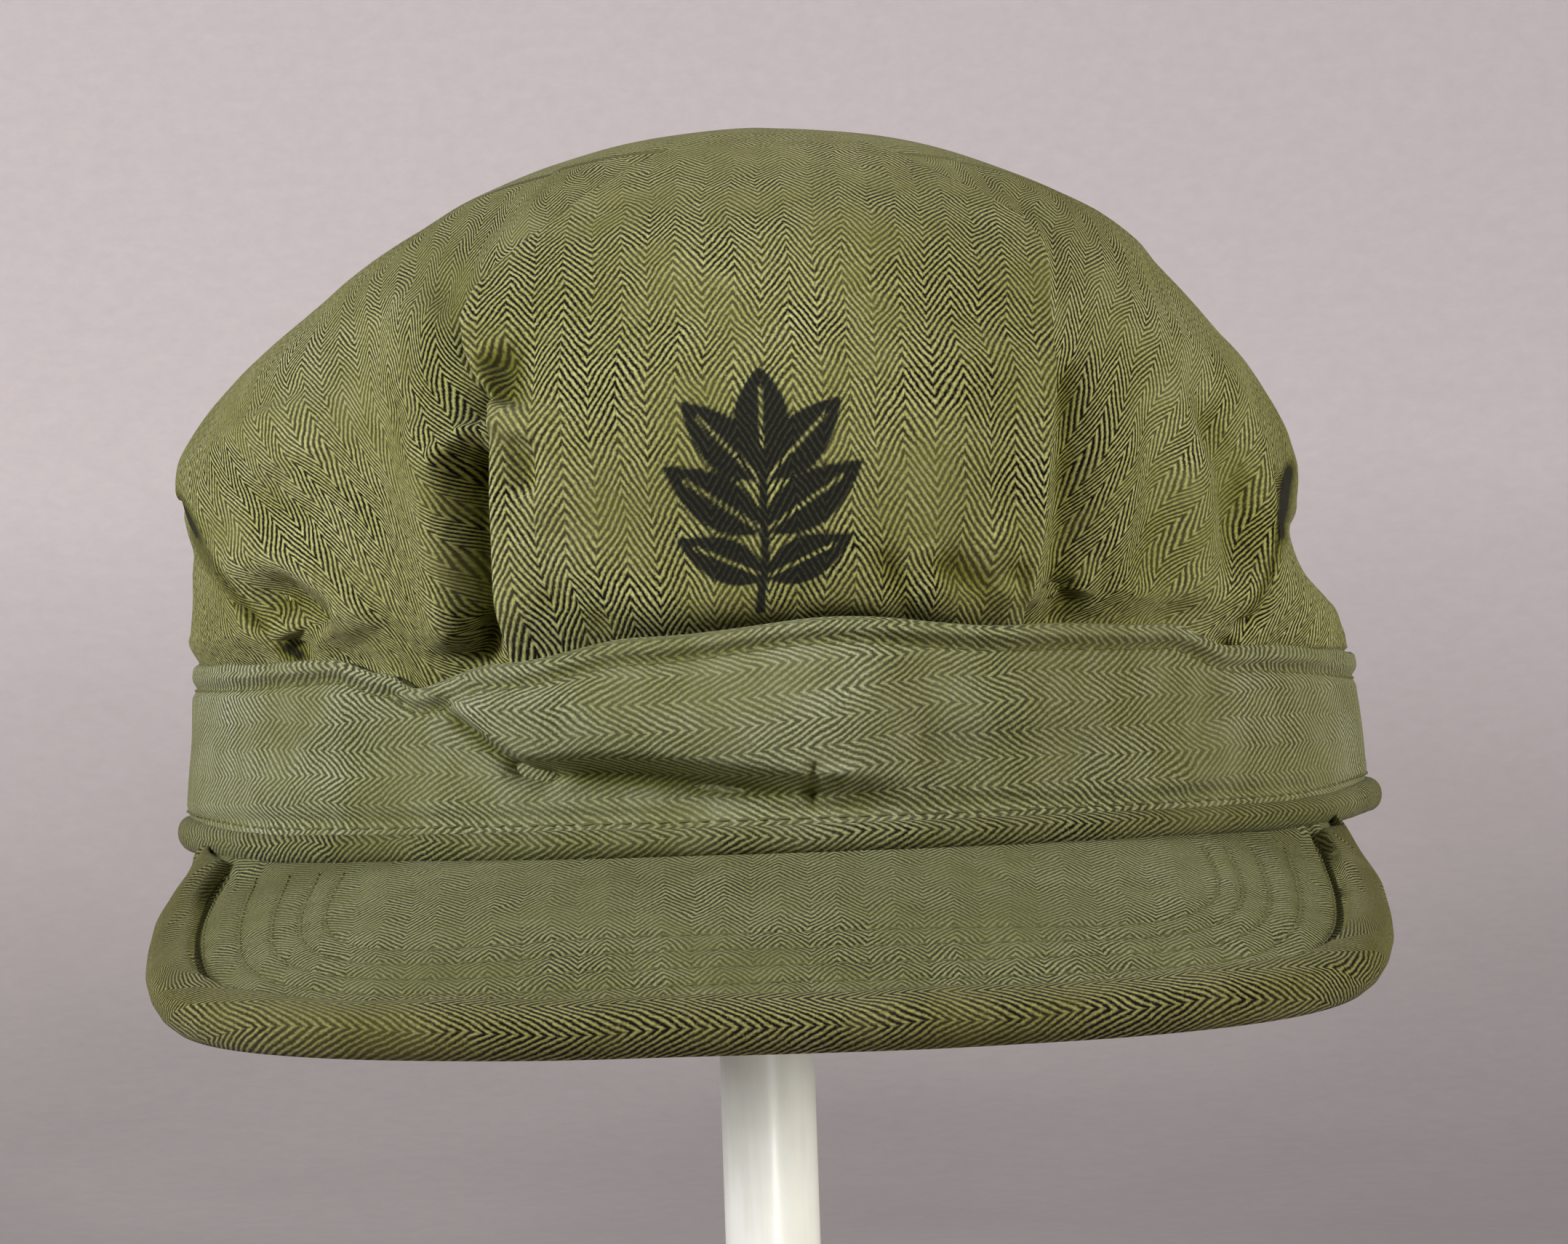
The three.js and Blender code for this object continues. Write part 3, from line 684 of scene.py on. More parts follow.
# The cap's form
@dataclass(frozen=True)
class CapForm:
    """Sizes of the cap and the plain surfaces that its cloth follows, in millimetres from its rim."""

    half_length: float = 101.5
    half_width: float = 83.0
    crown_height: float = 98.2
    crown_slump: float = 4.0
    crown_wall: float = 1.5
    band_height: float = 25.0
    band_taper: float = 1.9
    band_wall: float = 2.2
    tuck: float = 8.0
    seam_gap: float = 0.35
    loose_gap: float = 0.6
    panel_half: float = 36.0
    # angle, height as a share of the band's
    band_top_rows: tuple[tuple[float, ...], ...] = (
        (-85, 1), (-65, 1), (-46, 1.03), (-39, 0.95), (-35, 0.86), (-26, 0.97), (-12, 1.08),
        (5, 1.16), (24, 1.09), (40, 1.07), (49, 0.93), (85, 0.86), (180, 0.94), (275, 1),
    )
    # front reach and rise, side reach and rise, back reach and rise, each row a level of the crown
    crown_rows: tuple[tuple[float, ...], ...] = (
        (0.966, 0.108, 0.974, 0.061, 0.978, 0.061), (0.969, 0.175, 0.965, 0.147, 0.985, 0.14),
        (0.974, 0.337, 0.966, 0.284, 1.025, 0.269), (0.956, 0.479, 0.945, 0.384, 1.015, 0.378),
        (0.913, 0.61, 0.894, 0.479, 0.97, 0.479), (0.839, 0.732, 0.815, 0.581, 0.897, 0.581),
        (0.729, 0.823, 0.722, 0.69, 0.783, 0.687), (0.581, 0.895, 0.612, 0.793, 0.635, 0.779),
        (0.404, 0.953, 0.466, 0.883, 0.463, 0.863), (0.207, 0.988, 0.27, 0.961, 0.256, 0.946),
        (0.0, 1.0, 0.0, 1.0, 0.0, 1.0),
    )

    def band_top(self, angle: np.ndarray) -> np.ndarray:
        """Height of the band's top edge."""
        return self.band_height * round_table(self.band_top_rows, 1, angle)

    def ring(self, angle: np.ndarray, height: np.ndarray, out: np.ndarray) -> np.ndarray:
        """A place on the band's outside, moved out.

        Args:
            angle: degrees from the front.
            height: height above the rim.
            out: how far it is moved outwards.

        Returns:
            The places.
        """
        drawn = out - self.band_taper * height / self.band_height
        a = np.radians(angle)
        x = (self.half_width + drawn) * np.sin(a)
        y = -(self.half_length + drawn) * np.cos(a)
        return np.stack(np.broadcast_arrays(x, y, height), -1)

    def crown_rise(self, rise: np.ndarray) -> np.ndarray:
        """A height, from its share of the crown's height above the band."""
        return self.band_height + rise * (self.crown_height - self.band_height)

    def crown(self, angle: np.ndarray, t: np.ndarray) -> np.ndarray:
        """The plain crown with no folds.

        Args:
            angle: degrees from the front.
            t: from 0 at its lower edge, inside the band, to 1 at its top.

        Returns:
            The places.
        """
        angle, t = np.broadcast_arrays(np.asarray(angle, float), np.asarray(t, float))
        a = np.radians(angle)
        face, side = np.cos(a) ** 2, np.sin(a) ** 2
        front = (np.cos(a) > 0)[..., None]
        edge = self.band_top(angle)
        from_front = np.abs(np.mod(angle + 180, 360) - 180)
        panel_edge = math.degrees(math.asin(self.panel_half / self.half_width))
        under = 1 - smooth(from_front, panel_edge + 3, panel_edge + 13)
        inset = self.band_wall + self.loose_gap + (self.crown_wall + self.loose_gap) * under
        tucked = np.stack([edge - self.tuck, edge + self.seam_gap], -1)
        drawn = self.band_taper * tucked / self.band_height + inset[..., None]
        rows = np.array(self.crown_rows).T
        shape = (*angle.shape, rows.shape[1])
        s = t * (rows.shape[1] + 1)

        def level(low: np.ndarray, above: np.ndarray, level_end: bool = False) -> np.ndarray:
            """Reads one line of the crown from its tucked part to its top."""
            joined = np.concatenate([low, np.broadcast_to(above, shape)], -1)
            return eased_row(joined, s, level_end)

        side_reach = level(self.half_width - drawn, rows[2] * self.half_width)
        face_rows = np.where(front, rows[0], rows[4]) * self.half_length
        face_reach = level(self.half_length - drawn, face_rows)
        face_high = level(tucked, self.crown_rise(np.where(front, rows[1], rows[5])), True)
        side_high = level(tucked, self.crown_rise(rows[3]), True)
        height = face * face_high + side * side_high
        up = np.clip((height - self.band_height) / (self.crown_rise(0.82) - self.band_height), 0, 1)
        slump = self.crown_slump * side * np.sin(math.pi * up)
        return np.stack([side_reach * np.sin(a) - slump, -face_reach * np.cos(a), height], -1)

    def crown_out(self, angle: np.ndarray, t: np.ndarray) -> np.ndarray:
        """The way out of the plain crown, by differences.

        Args:
            angle: degrees from the front.
            t: from 0 at its lower edge to 1 at its top.

        Returns:
            A unit vector at each place.
        """
        step = 0.01
        low = np.minimum(t, 1 - 2 * step)
        along = self.crown(angle, low + step) - self.crown(angle, low)
        around = self.crown(angle + 1, low) - self.crown(angle - 1, low)
        return unit(np.cross(around, along))


FORM = CapForm()


# The crown
@dataclass
class Crown:
    """The crown's sides, top and back in one cloth, with its pleats, its drooping lips and its gathers."""

    columns: int = 500
    rows: int = 162
    inner_rows: int = 26
    lip_level: float = 0.28  # the share up the crown whose row of the mesh follows the lips' edge
    lip_depth: float = 4.0  # how far the cloth under a lip is drawn in
    lip_hang: float = 1.7  # how far a lip slides down
    lip_bulge: float = 1.9  # how far a lip stands out
    lip_lift: float = 0.9  # how far the cloth right under the lips is pushed up
    hang_reach: float = 8.0  # how far above its edge a lip's bulge fades
    under_reach: float = 2.6  # how far below its edge the hollow under a lip fades
    # height, how far each side's outline stands out there, left and right
    side_trim: tuple[tuple[float, float, float], ...] = (
        (21.0, 0.0, 0.0), (23.4, 2.6, 1.8), (26.5, 1.6, 0.3), (30.0, -0.4, -0.9), (34.0, -1.1, -1.5),
        (38.0, -2.0, -1.9), (41.0, -2.9, -2.6), (45.0, -2.4, -2.2), (50.0, -1.5, -1.1),
        (56.0, -0.9, -0.9), (66.0, 0.0, 0.0),
    )
    gather_from: float = 108.0
    gather_to: float = 252.0
    gather_count: int = 13
    gather_out: float = 1.25
    gather_width: float = 2.9
    seam_depth: float = 0.9  # how far the back seam is drawn in
    left_lean: float = 1.15  # how far the grain leans, across for each step up
    right_lean: float = 1.15
    grain_middle: float = 70.0  # the angle where the grain of each side's cloth would stand straight
    tip_radius: float = 44.0  # the round of cloth on the very top, whose grain runs front to back
    # angle, rise of the lip, how much of the droop there is, how soft its edge is, how far it bulges
    lip_rows: tuple[tuple[float, ...], ...] = (
        (-185, 0.249, 0.8, 2.0, 0.8), (-120, 0.31, 0.7, 2.0, 0.8), (-100, 0.375, 0.6, 1.4, 1),
        (-88, 0.4, 0.75, 0.9, 1), (-74, 0.33, 0.9, 0.8, 1), (-68.5, 0.26, 1, 0.7, 1),
        (-63.5, 0.19, 1, 0.7, 1), (-60, 0.135, 0.9, 0.7, 0.8), (-53.5, 0.037, 0.5, 0.9, 0.4),
        (-50, 0.02, 0, 1, 0), (50, 0.021, 0, 1, 0), (53.5, 0.04, 0.4, 0.9, 0.2),
        (56, 0.08, 0.7, 0.7, 0.4), (59.2, 0.16, 0.8, 0.7, 0.5), (61, 0.22, 0.8, 0.7, 0.5),
        (63.5, 0.32, 0.7, 0.9, 0.3), (66, 0.3, 0.4, 2.2, 0.0), (71, 0.25, 0.6, 3.4, -0.3),
        (90, 0.21, 0.7, 3.6, -0.3), (120, 0.27, 0.7, 2.4, 0.4), (175, 0.249, 0.8, 2.0, 0.8),
    )
    folds: tuple[Fold, ...] = (
        Fold("left pleat hollow", ((-40.3, 57), (-40.4, 51.4), (-40.5, 46), (-40.3, 38), (-40.0, 31),
             (-39.6, 22)), -4.6, 1.5, 2.6, taper=0.1),
        Fold("left pleat roll", ((-46.8, 62), (-46.8, 55.8), (-46.4, 50), (-45.8, 43), (-45.2, 36),
             (-44.8, 30), (-44.8, 25.5)), 3.2, 4.8, 3.6, taper=0.18),
        Fold("pleat top ridge", ((-45.8, 50.4), (-42.8, 54.0), (-40.0, 56.4), (-37.8, 57.0),
             (-35.2, 56.2)), 4.6, 1.8, 1.7, taper=0.25),
        Fold("hollow over the pleat", ((-42.2, 57.6), (-38.8, 60.8), (-36.8, 64.6), (-38.0, 70.0),
             (-41.2, 75.5)), -5.2, 3.4, 3.4, taper=0.3),
        Fold("left upper crease", ((-46, 70), (-43.5, 77.0), (-40.2, 82.0), (-36.0, 87.0),
             (-30.8, 89.9)), -1.0, 2.6, 2.2),
        Fold("left upper crease, inner", ((-42.2, 66.8), (-40, 72.8), (-36.3, 77.2), (-31.1, 82.0)),
             -0.8, 2.2, 2.0),
        Fold("left outer ridge", ((-47, 78), (-50, 68), (-51, 60)), 1.6, 4.5, 4.0),
        Fold("left brow hollow", ((-55, 77), (-58, 68), (-58.5, 58), (-57, 48), (-54, 40)), -1.5, 5, 5),
        Fold("left swag ridge", ((-79, 42.5), (-73.5, 41.6), (-67.2, 40.2), (-61.8, 36.0),
             (-57.9, 31.8), (-56.0, 28.6)), 2.3, 3.6, 3.0, taper=0.3, sag=0.5),
        Fold("left cheek hollow", ((-71.5, 38.0), (-68.4, 35.0), (-64.6, 32.4), (-61.4, 30.4)),
             -3.3, 3.4, 3.2, taper=0.3),
        Fold("left eye", ((-67.8, 28.4), (-66.2, 27.0)), -3.0, 1.6, 1.6, taper=0),
        Fold("left shoulder swell", ((-70, 62), (-66, 52)), 1.4, 8, 8),
        Fold("left slack", ((-77, 56), (-70, 48), (-62, 43)), -0.9, 3.5, 3.5),
        Fold("right pleat hollow", ((43.2, 67), (43.3, 58), (42.9, 49), (42.2, 40), (40.6, 32),
             (39.0, 25)), -2.6, 2.2, 2.4, taper=0.1),
        Fold("right pleat patch", ((41.6, 34.2), (42.6, 28.6)), -1.6, 2.0, 2.0),
        Fold("right inner ridge", ((49.5, 62), (49.8, 50), (48.2, 38), (46, 30)), 1.5, 3.4, 4.0),
        Fold("right soft hollow", ((55.5, 58), (55.2, 47), (53.6, 38), (51.5, 31)), -1.2, 3.2, 3.2),
        Fold("right cheek ridge", ((58.5, 52), (59.6, 43), (59.4, 35), (57.4, 28.5)), 1.5, 3.0, 3.0),
        Fold("right cheek hollow", ((60.3, 66.4), (62.2, 61.2), (64.2, 55.1), (65.6, 50.9),
             (66.6, 46.8), (66.9, 41.7), (66.2, 36.7), (64.6, 31)), -3.6, 2.8, 2.6, taper=0.3),
        Fold("right lip roll", ((71.6, 51), (70.4, 44), (69.2, 37.5), (66.4, 31.0), (63.2, 27.0)),
             1.4, 2.4, 2.2, taper=0.35),
        Fold("right eye", ((63.4, 23.6), (64.6, 21.8)), -2.8, 1.5, 1.6, taper=0),
        Fold("right dimple", ((45.9, 35.6), (47.2, 32.4)), -1.2, 2.4, 2.4, taper=0),
        Fold("right shoulder slack", ((52, 80), (59, 72), (65, 62)), -0.8, 4, 4),
        Fold("left seam line", ((-38.6, 64), (-41.2, 73.2), (-38.2, 80.5), (-29.2, 88.2), (-21.5, 92.6),
             (-11, 95.5), (0, 97.2)), -0.55, 0.9, 0.9, taper=0.08),
        Fold("right seam line", ((42.0, 70), (41.2, 80.5), (38.8, 86), (31.3, 90.5), (17.9, 95.4),
             (8, 97.2), (0, 97.6)), -0.55, 0.9, 0.9, taper=0.08),
    )

    # painted shadows of creases too narrow for the mesh, as dark lines on the cloth
    crease_shadows: tuple[Fold, ...] = (
        Fold("left lip edge", ((-83.8, 51.0), (-81.0, 46.1), (-79.0, 41.2), (-76.2, 36.8),
             (-73.6, 33.5), (-70.0, 29.4)), -4.4, 0.6, 1.0, taper=0.12),
        Fold("left lip slot", ((-84.4, 51.4), (-82.0, 46.0), (-80.0, 41.6)), -7.0, 1.0, 0.9, taper=0.3),
        Fold("left eye", ((-68.2, 27.8), (-66.4, 26.6)), -7.0, 1.1, 1.1, taper=0),
        Fold("right lip edge", ((73.9, 50.4), (72.3, 45.1), (71.8, 39.8), (70.6, 35.5), (68.0, 29.7),
             (65.2, 26.5)), -3.4, 0.9, 0.5, taper=0.1),
        Fold("right lip slot", ((73.6, 49.4), (72.6, 45.5), (72.0, 41), (71.4, 37.4)),
             -8.0, 0.9, 0.7, taper=0.2),
        Fold("right eye", ((63.7, 23.6), (64.8, 21.8)), -7.0, 1.1, 1.1, taper=0),
        Fold("left pleat slot", ((-39.6, 55.5), (-39.8, 50), (-40.0, 42), (-39.6, 34), (-39.4, 25)),
             -3.4, 1.3, 1.0, taper=0.1),
        Fold("right cheek", ((59.4, 62.4), (62.8, 55.6), (65.4, 50.2), (66.6, 44.8), (66.0, 38.3)),
             -1.0, 2.6, 2.2),
        Fold("right pleat foot", ((40.6, 37), (42.4, 27)), -1.7, 2.4, 2.0, taper=0.3),
        Fold("right pleat", ((42.6, 66), (42.4, 55), (41.4, 44)), -0.9, 1.2, 1.4, taper=0.2),
    )

    def angles(self) -> np.ndarray:
        """Angles all the way round, closest where the pleats are.

        Returns:
            One angle for each column.
        """
        turn = np.linspace(-180, 180, 4001)
        crowding = 1 + 1.7 * np.exp(-(((np.abs(turn) - 42) / 24) ** 2)) - 0.45 * smooth(np.abs(turn), 95, 120)
        total = np.concatenate([[0], np.cumsum((crowding[1:] + crowding[:-1]) / 2)])
        return np.interp(np.linspace(0, total[-1], self.columns + 1)[:-1], total, turn)

    def lip_height(self, angle: np.ndarray) -> np.ndarray:
        """Height of the lips' edge, which wanders a little at the back.

        Args:
            angle: degrees from the front.

        Returns:
            The height at each angle.
        """
        ring = FORM.crown(angle, self.lip_level)
        wander = 1.2 * ripple(ring * (1, 1, 0), 60, 5) * smooth(np.abs(angle), 78, 100)
        return FORM.crown_rise(round_table(self.lip_rows, 1, angle)) + wander

    def shares(self, angle: np.ndarray) -> np.ndarray:
        """Shares up the crown for each column, closest together where the column crosses the lips' edge.

        Args:
            angle: the columns' angles.

        Returns:
            Rows of columns of shares.
        """
        t = np.linspace(0, 0.994, 2001)
        near_lip = 2.6 * np.exp(-(((t - self.lip_level) / 0.022) ** 2))
        folds_here = smooth(t, 0.05, 0.1) * (1 - smooth(t, 0.44, 0.62))
        crowding = 0.4 + folds_here + near_lip + 0.35 * (t > 0.44)
        total = np.concatenate([[0], np.cumsum((crowding[1:] + crowding[:-1]) / 2)])
        level = np.interp(np.linspace(0, total[-1], self.rows), total, t)
        steps = np.linspace(0, 0.7, 350)
        heights = FORM.crown(angle[None], steps[:, None])[..., 2]
        lip = np.array([np.interp(h, heights[:, k], steps) for k, h in enumerate(self.lip_height(angle))])
        shift = (lip - self.lip_level) * np.interp(level, [0, self.lip_level, 0.7, 1], [0, 1, 0, 0])[:, None]
        return level[:, None] + shift

    def lips(
        self, angle: np.ndarray, height: np.ndarray, above: np.ndarray
    ) -> tuple[np.ndarray, np.ndarray]:
        """How the cloth droops over its own lower part in a lip at each side and round the back.

        Args:
            angle: degrees from the front.
            height: height above the rim.
            above: how far clear of the band each place is, from 0 to 1.

        Returns:
            How far the cloth stands out, and how far it slides down.
        """
        share = round_table(self.lip_rows, 2, angle)
        soft = round_table(self.lip_rows, 3, angle)
        bulge = self.lip_bulge * round_table(self.lip_rows, 4, angle)
        from_lip = height - self.lip_height(angle)
        over = smooth(from_lip / soft, -1, 1)
        below = np.minimum(from_lip + soft, 0)
        under = np.exp(-((below / (self.under_reach + 1.6 * soft)) ** 2)) * (1 - over) * above
        hanging = np.exp(-((np.maximum(from_lip - soft, 0) / self.hang_reach) ** 2)) * over
        lifted = np.exp(-((below / 3.0) ** 2)) * (1 - over)
        out = share * (bulge * hanging - self.lip_depth * under)
        return out, share * (self.lip_hang * hanging - self.lip_lift * lifted * above)

    def outline(self, angle: np.ndarray, height: np.ndarray) -> np.ndarray:
        """How far the sides' outlines stand out.

        Args:
            angle: degrees from the front.
            height: height above the rim.

        Returns:
            Millimetres at each place, and 0 away from the sides.
        """
        side_on = smooth(np.abs(angle), 58, 74) * (1 - smooth(np.abs(angle), 105, 135))
        heights, left, right = np.array(self.side_trim).T
        trim = np.where(angle < 0, np.interp(height, heights, left), np.interp(height, heights, right))
        return side_on * trim * smooth(height - FORM.band_top(angle), -0.8, 1.4)

    def gathers(self, angle: np.ndarray, base: np.ndarray, loose: np.ndarray) -> np.ndarray:
        """How far the gathers at the back stand out above the band.

        Args:
            angle: degrees from the front.
            base: the same places on the plain crown.
            loose: how much of the gathers is left at each place, from 0 to 1.

        Returns:
            Millimetres at each place.
        """
        radius = np.hypot(base[..., 0], base[..., 1])
        total = np.zeros_like(radius)
        for k in range(self.gather_count):
            at = self.gather_from + (self.gather_to - self.gather_from) * k / (self.gather_count - 1)
            apart = np.radians(np.mod(angle - at + 180, 360) - 180) * radius
            lean = 0.12 * (base[..., 2] - 30) * math.sin(3 * k)
            total += self.gather_out * loose * np.exp(-(((apart + lean) / self.gather_width) ** 2))
        return total

    def back_seam(self, angle: np.ndarray, radius: np.ndarray) -> np.ndarray:
        """How far the seam up the middle of the back is drawn in.

        Args:
            angle: degrees from the front.
            radius: how far each place is from the crown's middle.

        Returns:
            Millimetres at each place, minus on the low ridges beside the seam.
        """
        behind = np.radians(np.mod(angle, 360) - 180) * radius
        line = np.exp(-((behind / 0.8) ** 2))
        beside = 0.35 * np.exp(-(((np.abs(behind) - 4) / 3.2) ** 2))
        return self.seam_depth * (line - beside) * smooth(radius, 3, 14)

    def place(self, angle: np.ndarray, t: np.ndarray) -> np.ndarray:
        """A place on the folded crown.

        Args:
            angle: degrees from the front.
            t: from 0 at its lower edge to 1 at its top.

        Returns:
            The places.
        """
        base = FORM.crown(angle, t)
        way = FORM.crown_out(angle, t)
        height = base[..., 2]
        radius = np.hypot(base[..., 0], base[..., 1])
        above = smooth(height - FORM.band_top(angle), -0.6, 5.0)
        out, slide = self.lips(angle, height, above)
        out = out + self.outline(angle, height)
        # The folds drawn as they show from in front; ridges keep clear of the front panel's edges
        in_front = smooth(-base[..., 1], -4, 10)
        fold_out, fold_sag = folded(self.folds, seen_from_front(base))
        beside = smooth(np.abs(base[..., 0]), FORM.panel_half - 2.5, FORM.panel_half + 2.5)
        beside = np.maximum(beside, smooth(height, 80, 86))
        fold_out = np.minimum(fold_out, 0) + np.maximum(fold_out, 0) * beside
        out = out + in_front * above * fold_out
        slide = slide + in_front * above * fold_sag
        # The back and the sides: gathers, a sewn seam up the middle, and the slack of worn cloth
        loose = 1 - smooth(height - self.lip_height(angle), 0, 14)
        out = out + above * self.gathers(angle, base, loose)
        out = out - above * self.back_seam(angle, radius)
        free = 1 - smooth(-base[..., 1], -25, 20)
        side_slack = 1.3 * ripple(base, 46, 11) + 0.45 * ripple(base, 19, 12)
        out = out + above * (0.25 + 0.75 * free) * side_slack * smooth(radius, 8, 40)
        # Under the front panel the cloth lies flat and a little further in
        under_panel = (1 - smooth(np.abs(base[..., 0]), 28, 36)) * (base[..., 1] < 0)
        under_panel = under_panel * (1 - smooth(height, 88, 94))
        out = out * (1 - under_panel) - 0.35 * under_panel
        place = base + way * out[..., None]
        place[..., 2] -= slide * smooth(radius, 30, 60)
        return place

    def cloth(self, angle: np.ndarray, points: np.ndarray, folded_points: np.ndarray) -> np.ndarray:
        """Where the crown's points lie on the flat cloth: its grain leans outwards at both sides.

        Args:
            angle: the columns' angles.
            points: rows of columns of places on the plain crown.
            folded_points: the same places on the folded crown.

        Returns:
            Places on the cloth in millimetres.
        """
        up = arc_lengths(points, 0)
        up = up + 0.5 * spread(spread(arc_lengths(folded_points, 0) - up, 16, 1, True), 8, 0, False)
        side = np.where(angle < 0, -1.0, 1.0)
        lean = np.where(angle < 0, self.left_lean, self.right_lean) * (1 - smooth(np.abs(angle), 100, 165))
        girth = np.hypot(points[..., 0], points[..., 1])
        from_middle = np.radians(np.abs(angle) - self.grain_middle)
        across = side * (from_middle * girth - lean * (up - 45)) + 400 * side
        on_tip = girth < self.tip_radius
        across = np.where(on_tip, points[..., 0], across)
        along = np.where(on_tip, -points[..., 1] * 1.04, up)
        return np.stack([across, along, np.zeros_like(up)], -1)

    def build(self) -> list[bpy.types.Object]:
        """Makes the crown's cloth.

        Returns:
            The pieces.
        """
        angle = self.angles()
        shares = self.shares(angle)
        angles = np.broadcast_to(angle, shares.shape)
        outer = self.place(angles, shares)
        cloth = self.cloth(angles, FORM.crown(angles, shares), outer)
        normals = grid_normals(outer, True)
        chosen = np.unique(np.linspace(0, self.rows - 1, self.inner_rows).round().astype(int))
        inner = outer[chosen] - FORM.crown_wall * normals[chosen]
        sheet = Sheet()
        # Painted shade: the narrow creases' shadows, faded out towards the sides, are added to the relief,
        # and the finish darkens the hollows from both
        dark, _ = folded(self.crease_shadows, seen_from_front(outer))
        stands = relief(outer, 8, 7, True) + dark * (1 - smooth(outer[..., 1], -27, -7))
        out_numbers = sheet.add_points(outer, cloth, stands)
        in_numbers = sheet.add_points(inner, cloth[chosen])
        top = outer[-1].mean(0)
        tips = sheet.add_points(np.array([top + (0, 0, 0.05), top - (0, 0, FORM.crown_wall)]), np.zeros(3))
        sheet.add_grid(out_numbers, around=True)
        sheet.add_grid(in_numbers, around=True, inside=True)
        sheet.add_grid(np.stack([in_numbers[0], out_numbers[0]]), around=True)
        sheet.add_tip(out_numbers[-1], int(tips[0]))
        sheet.add_tip(in_numbers[-1], int(tips[1]), inside=True)
        finish = HerringboneCloth("crown_herringbone", CROWN_LIGHT, CROWN_DARK).made()
        return [dress("crown_cloth", sheet.mesh("crown_cloth"), finish, ("crown_sides",))]


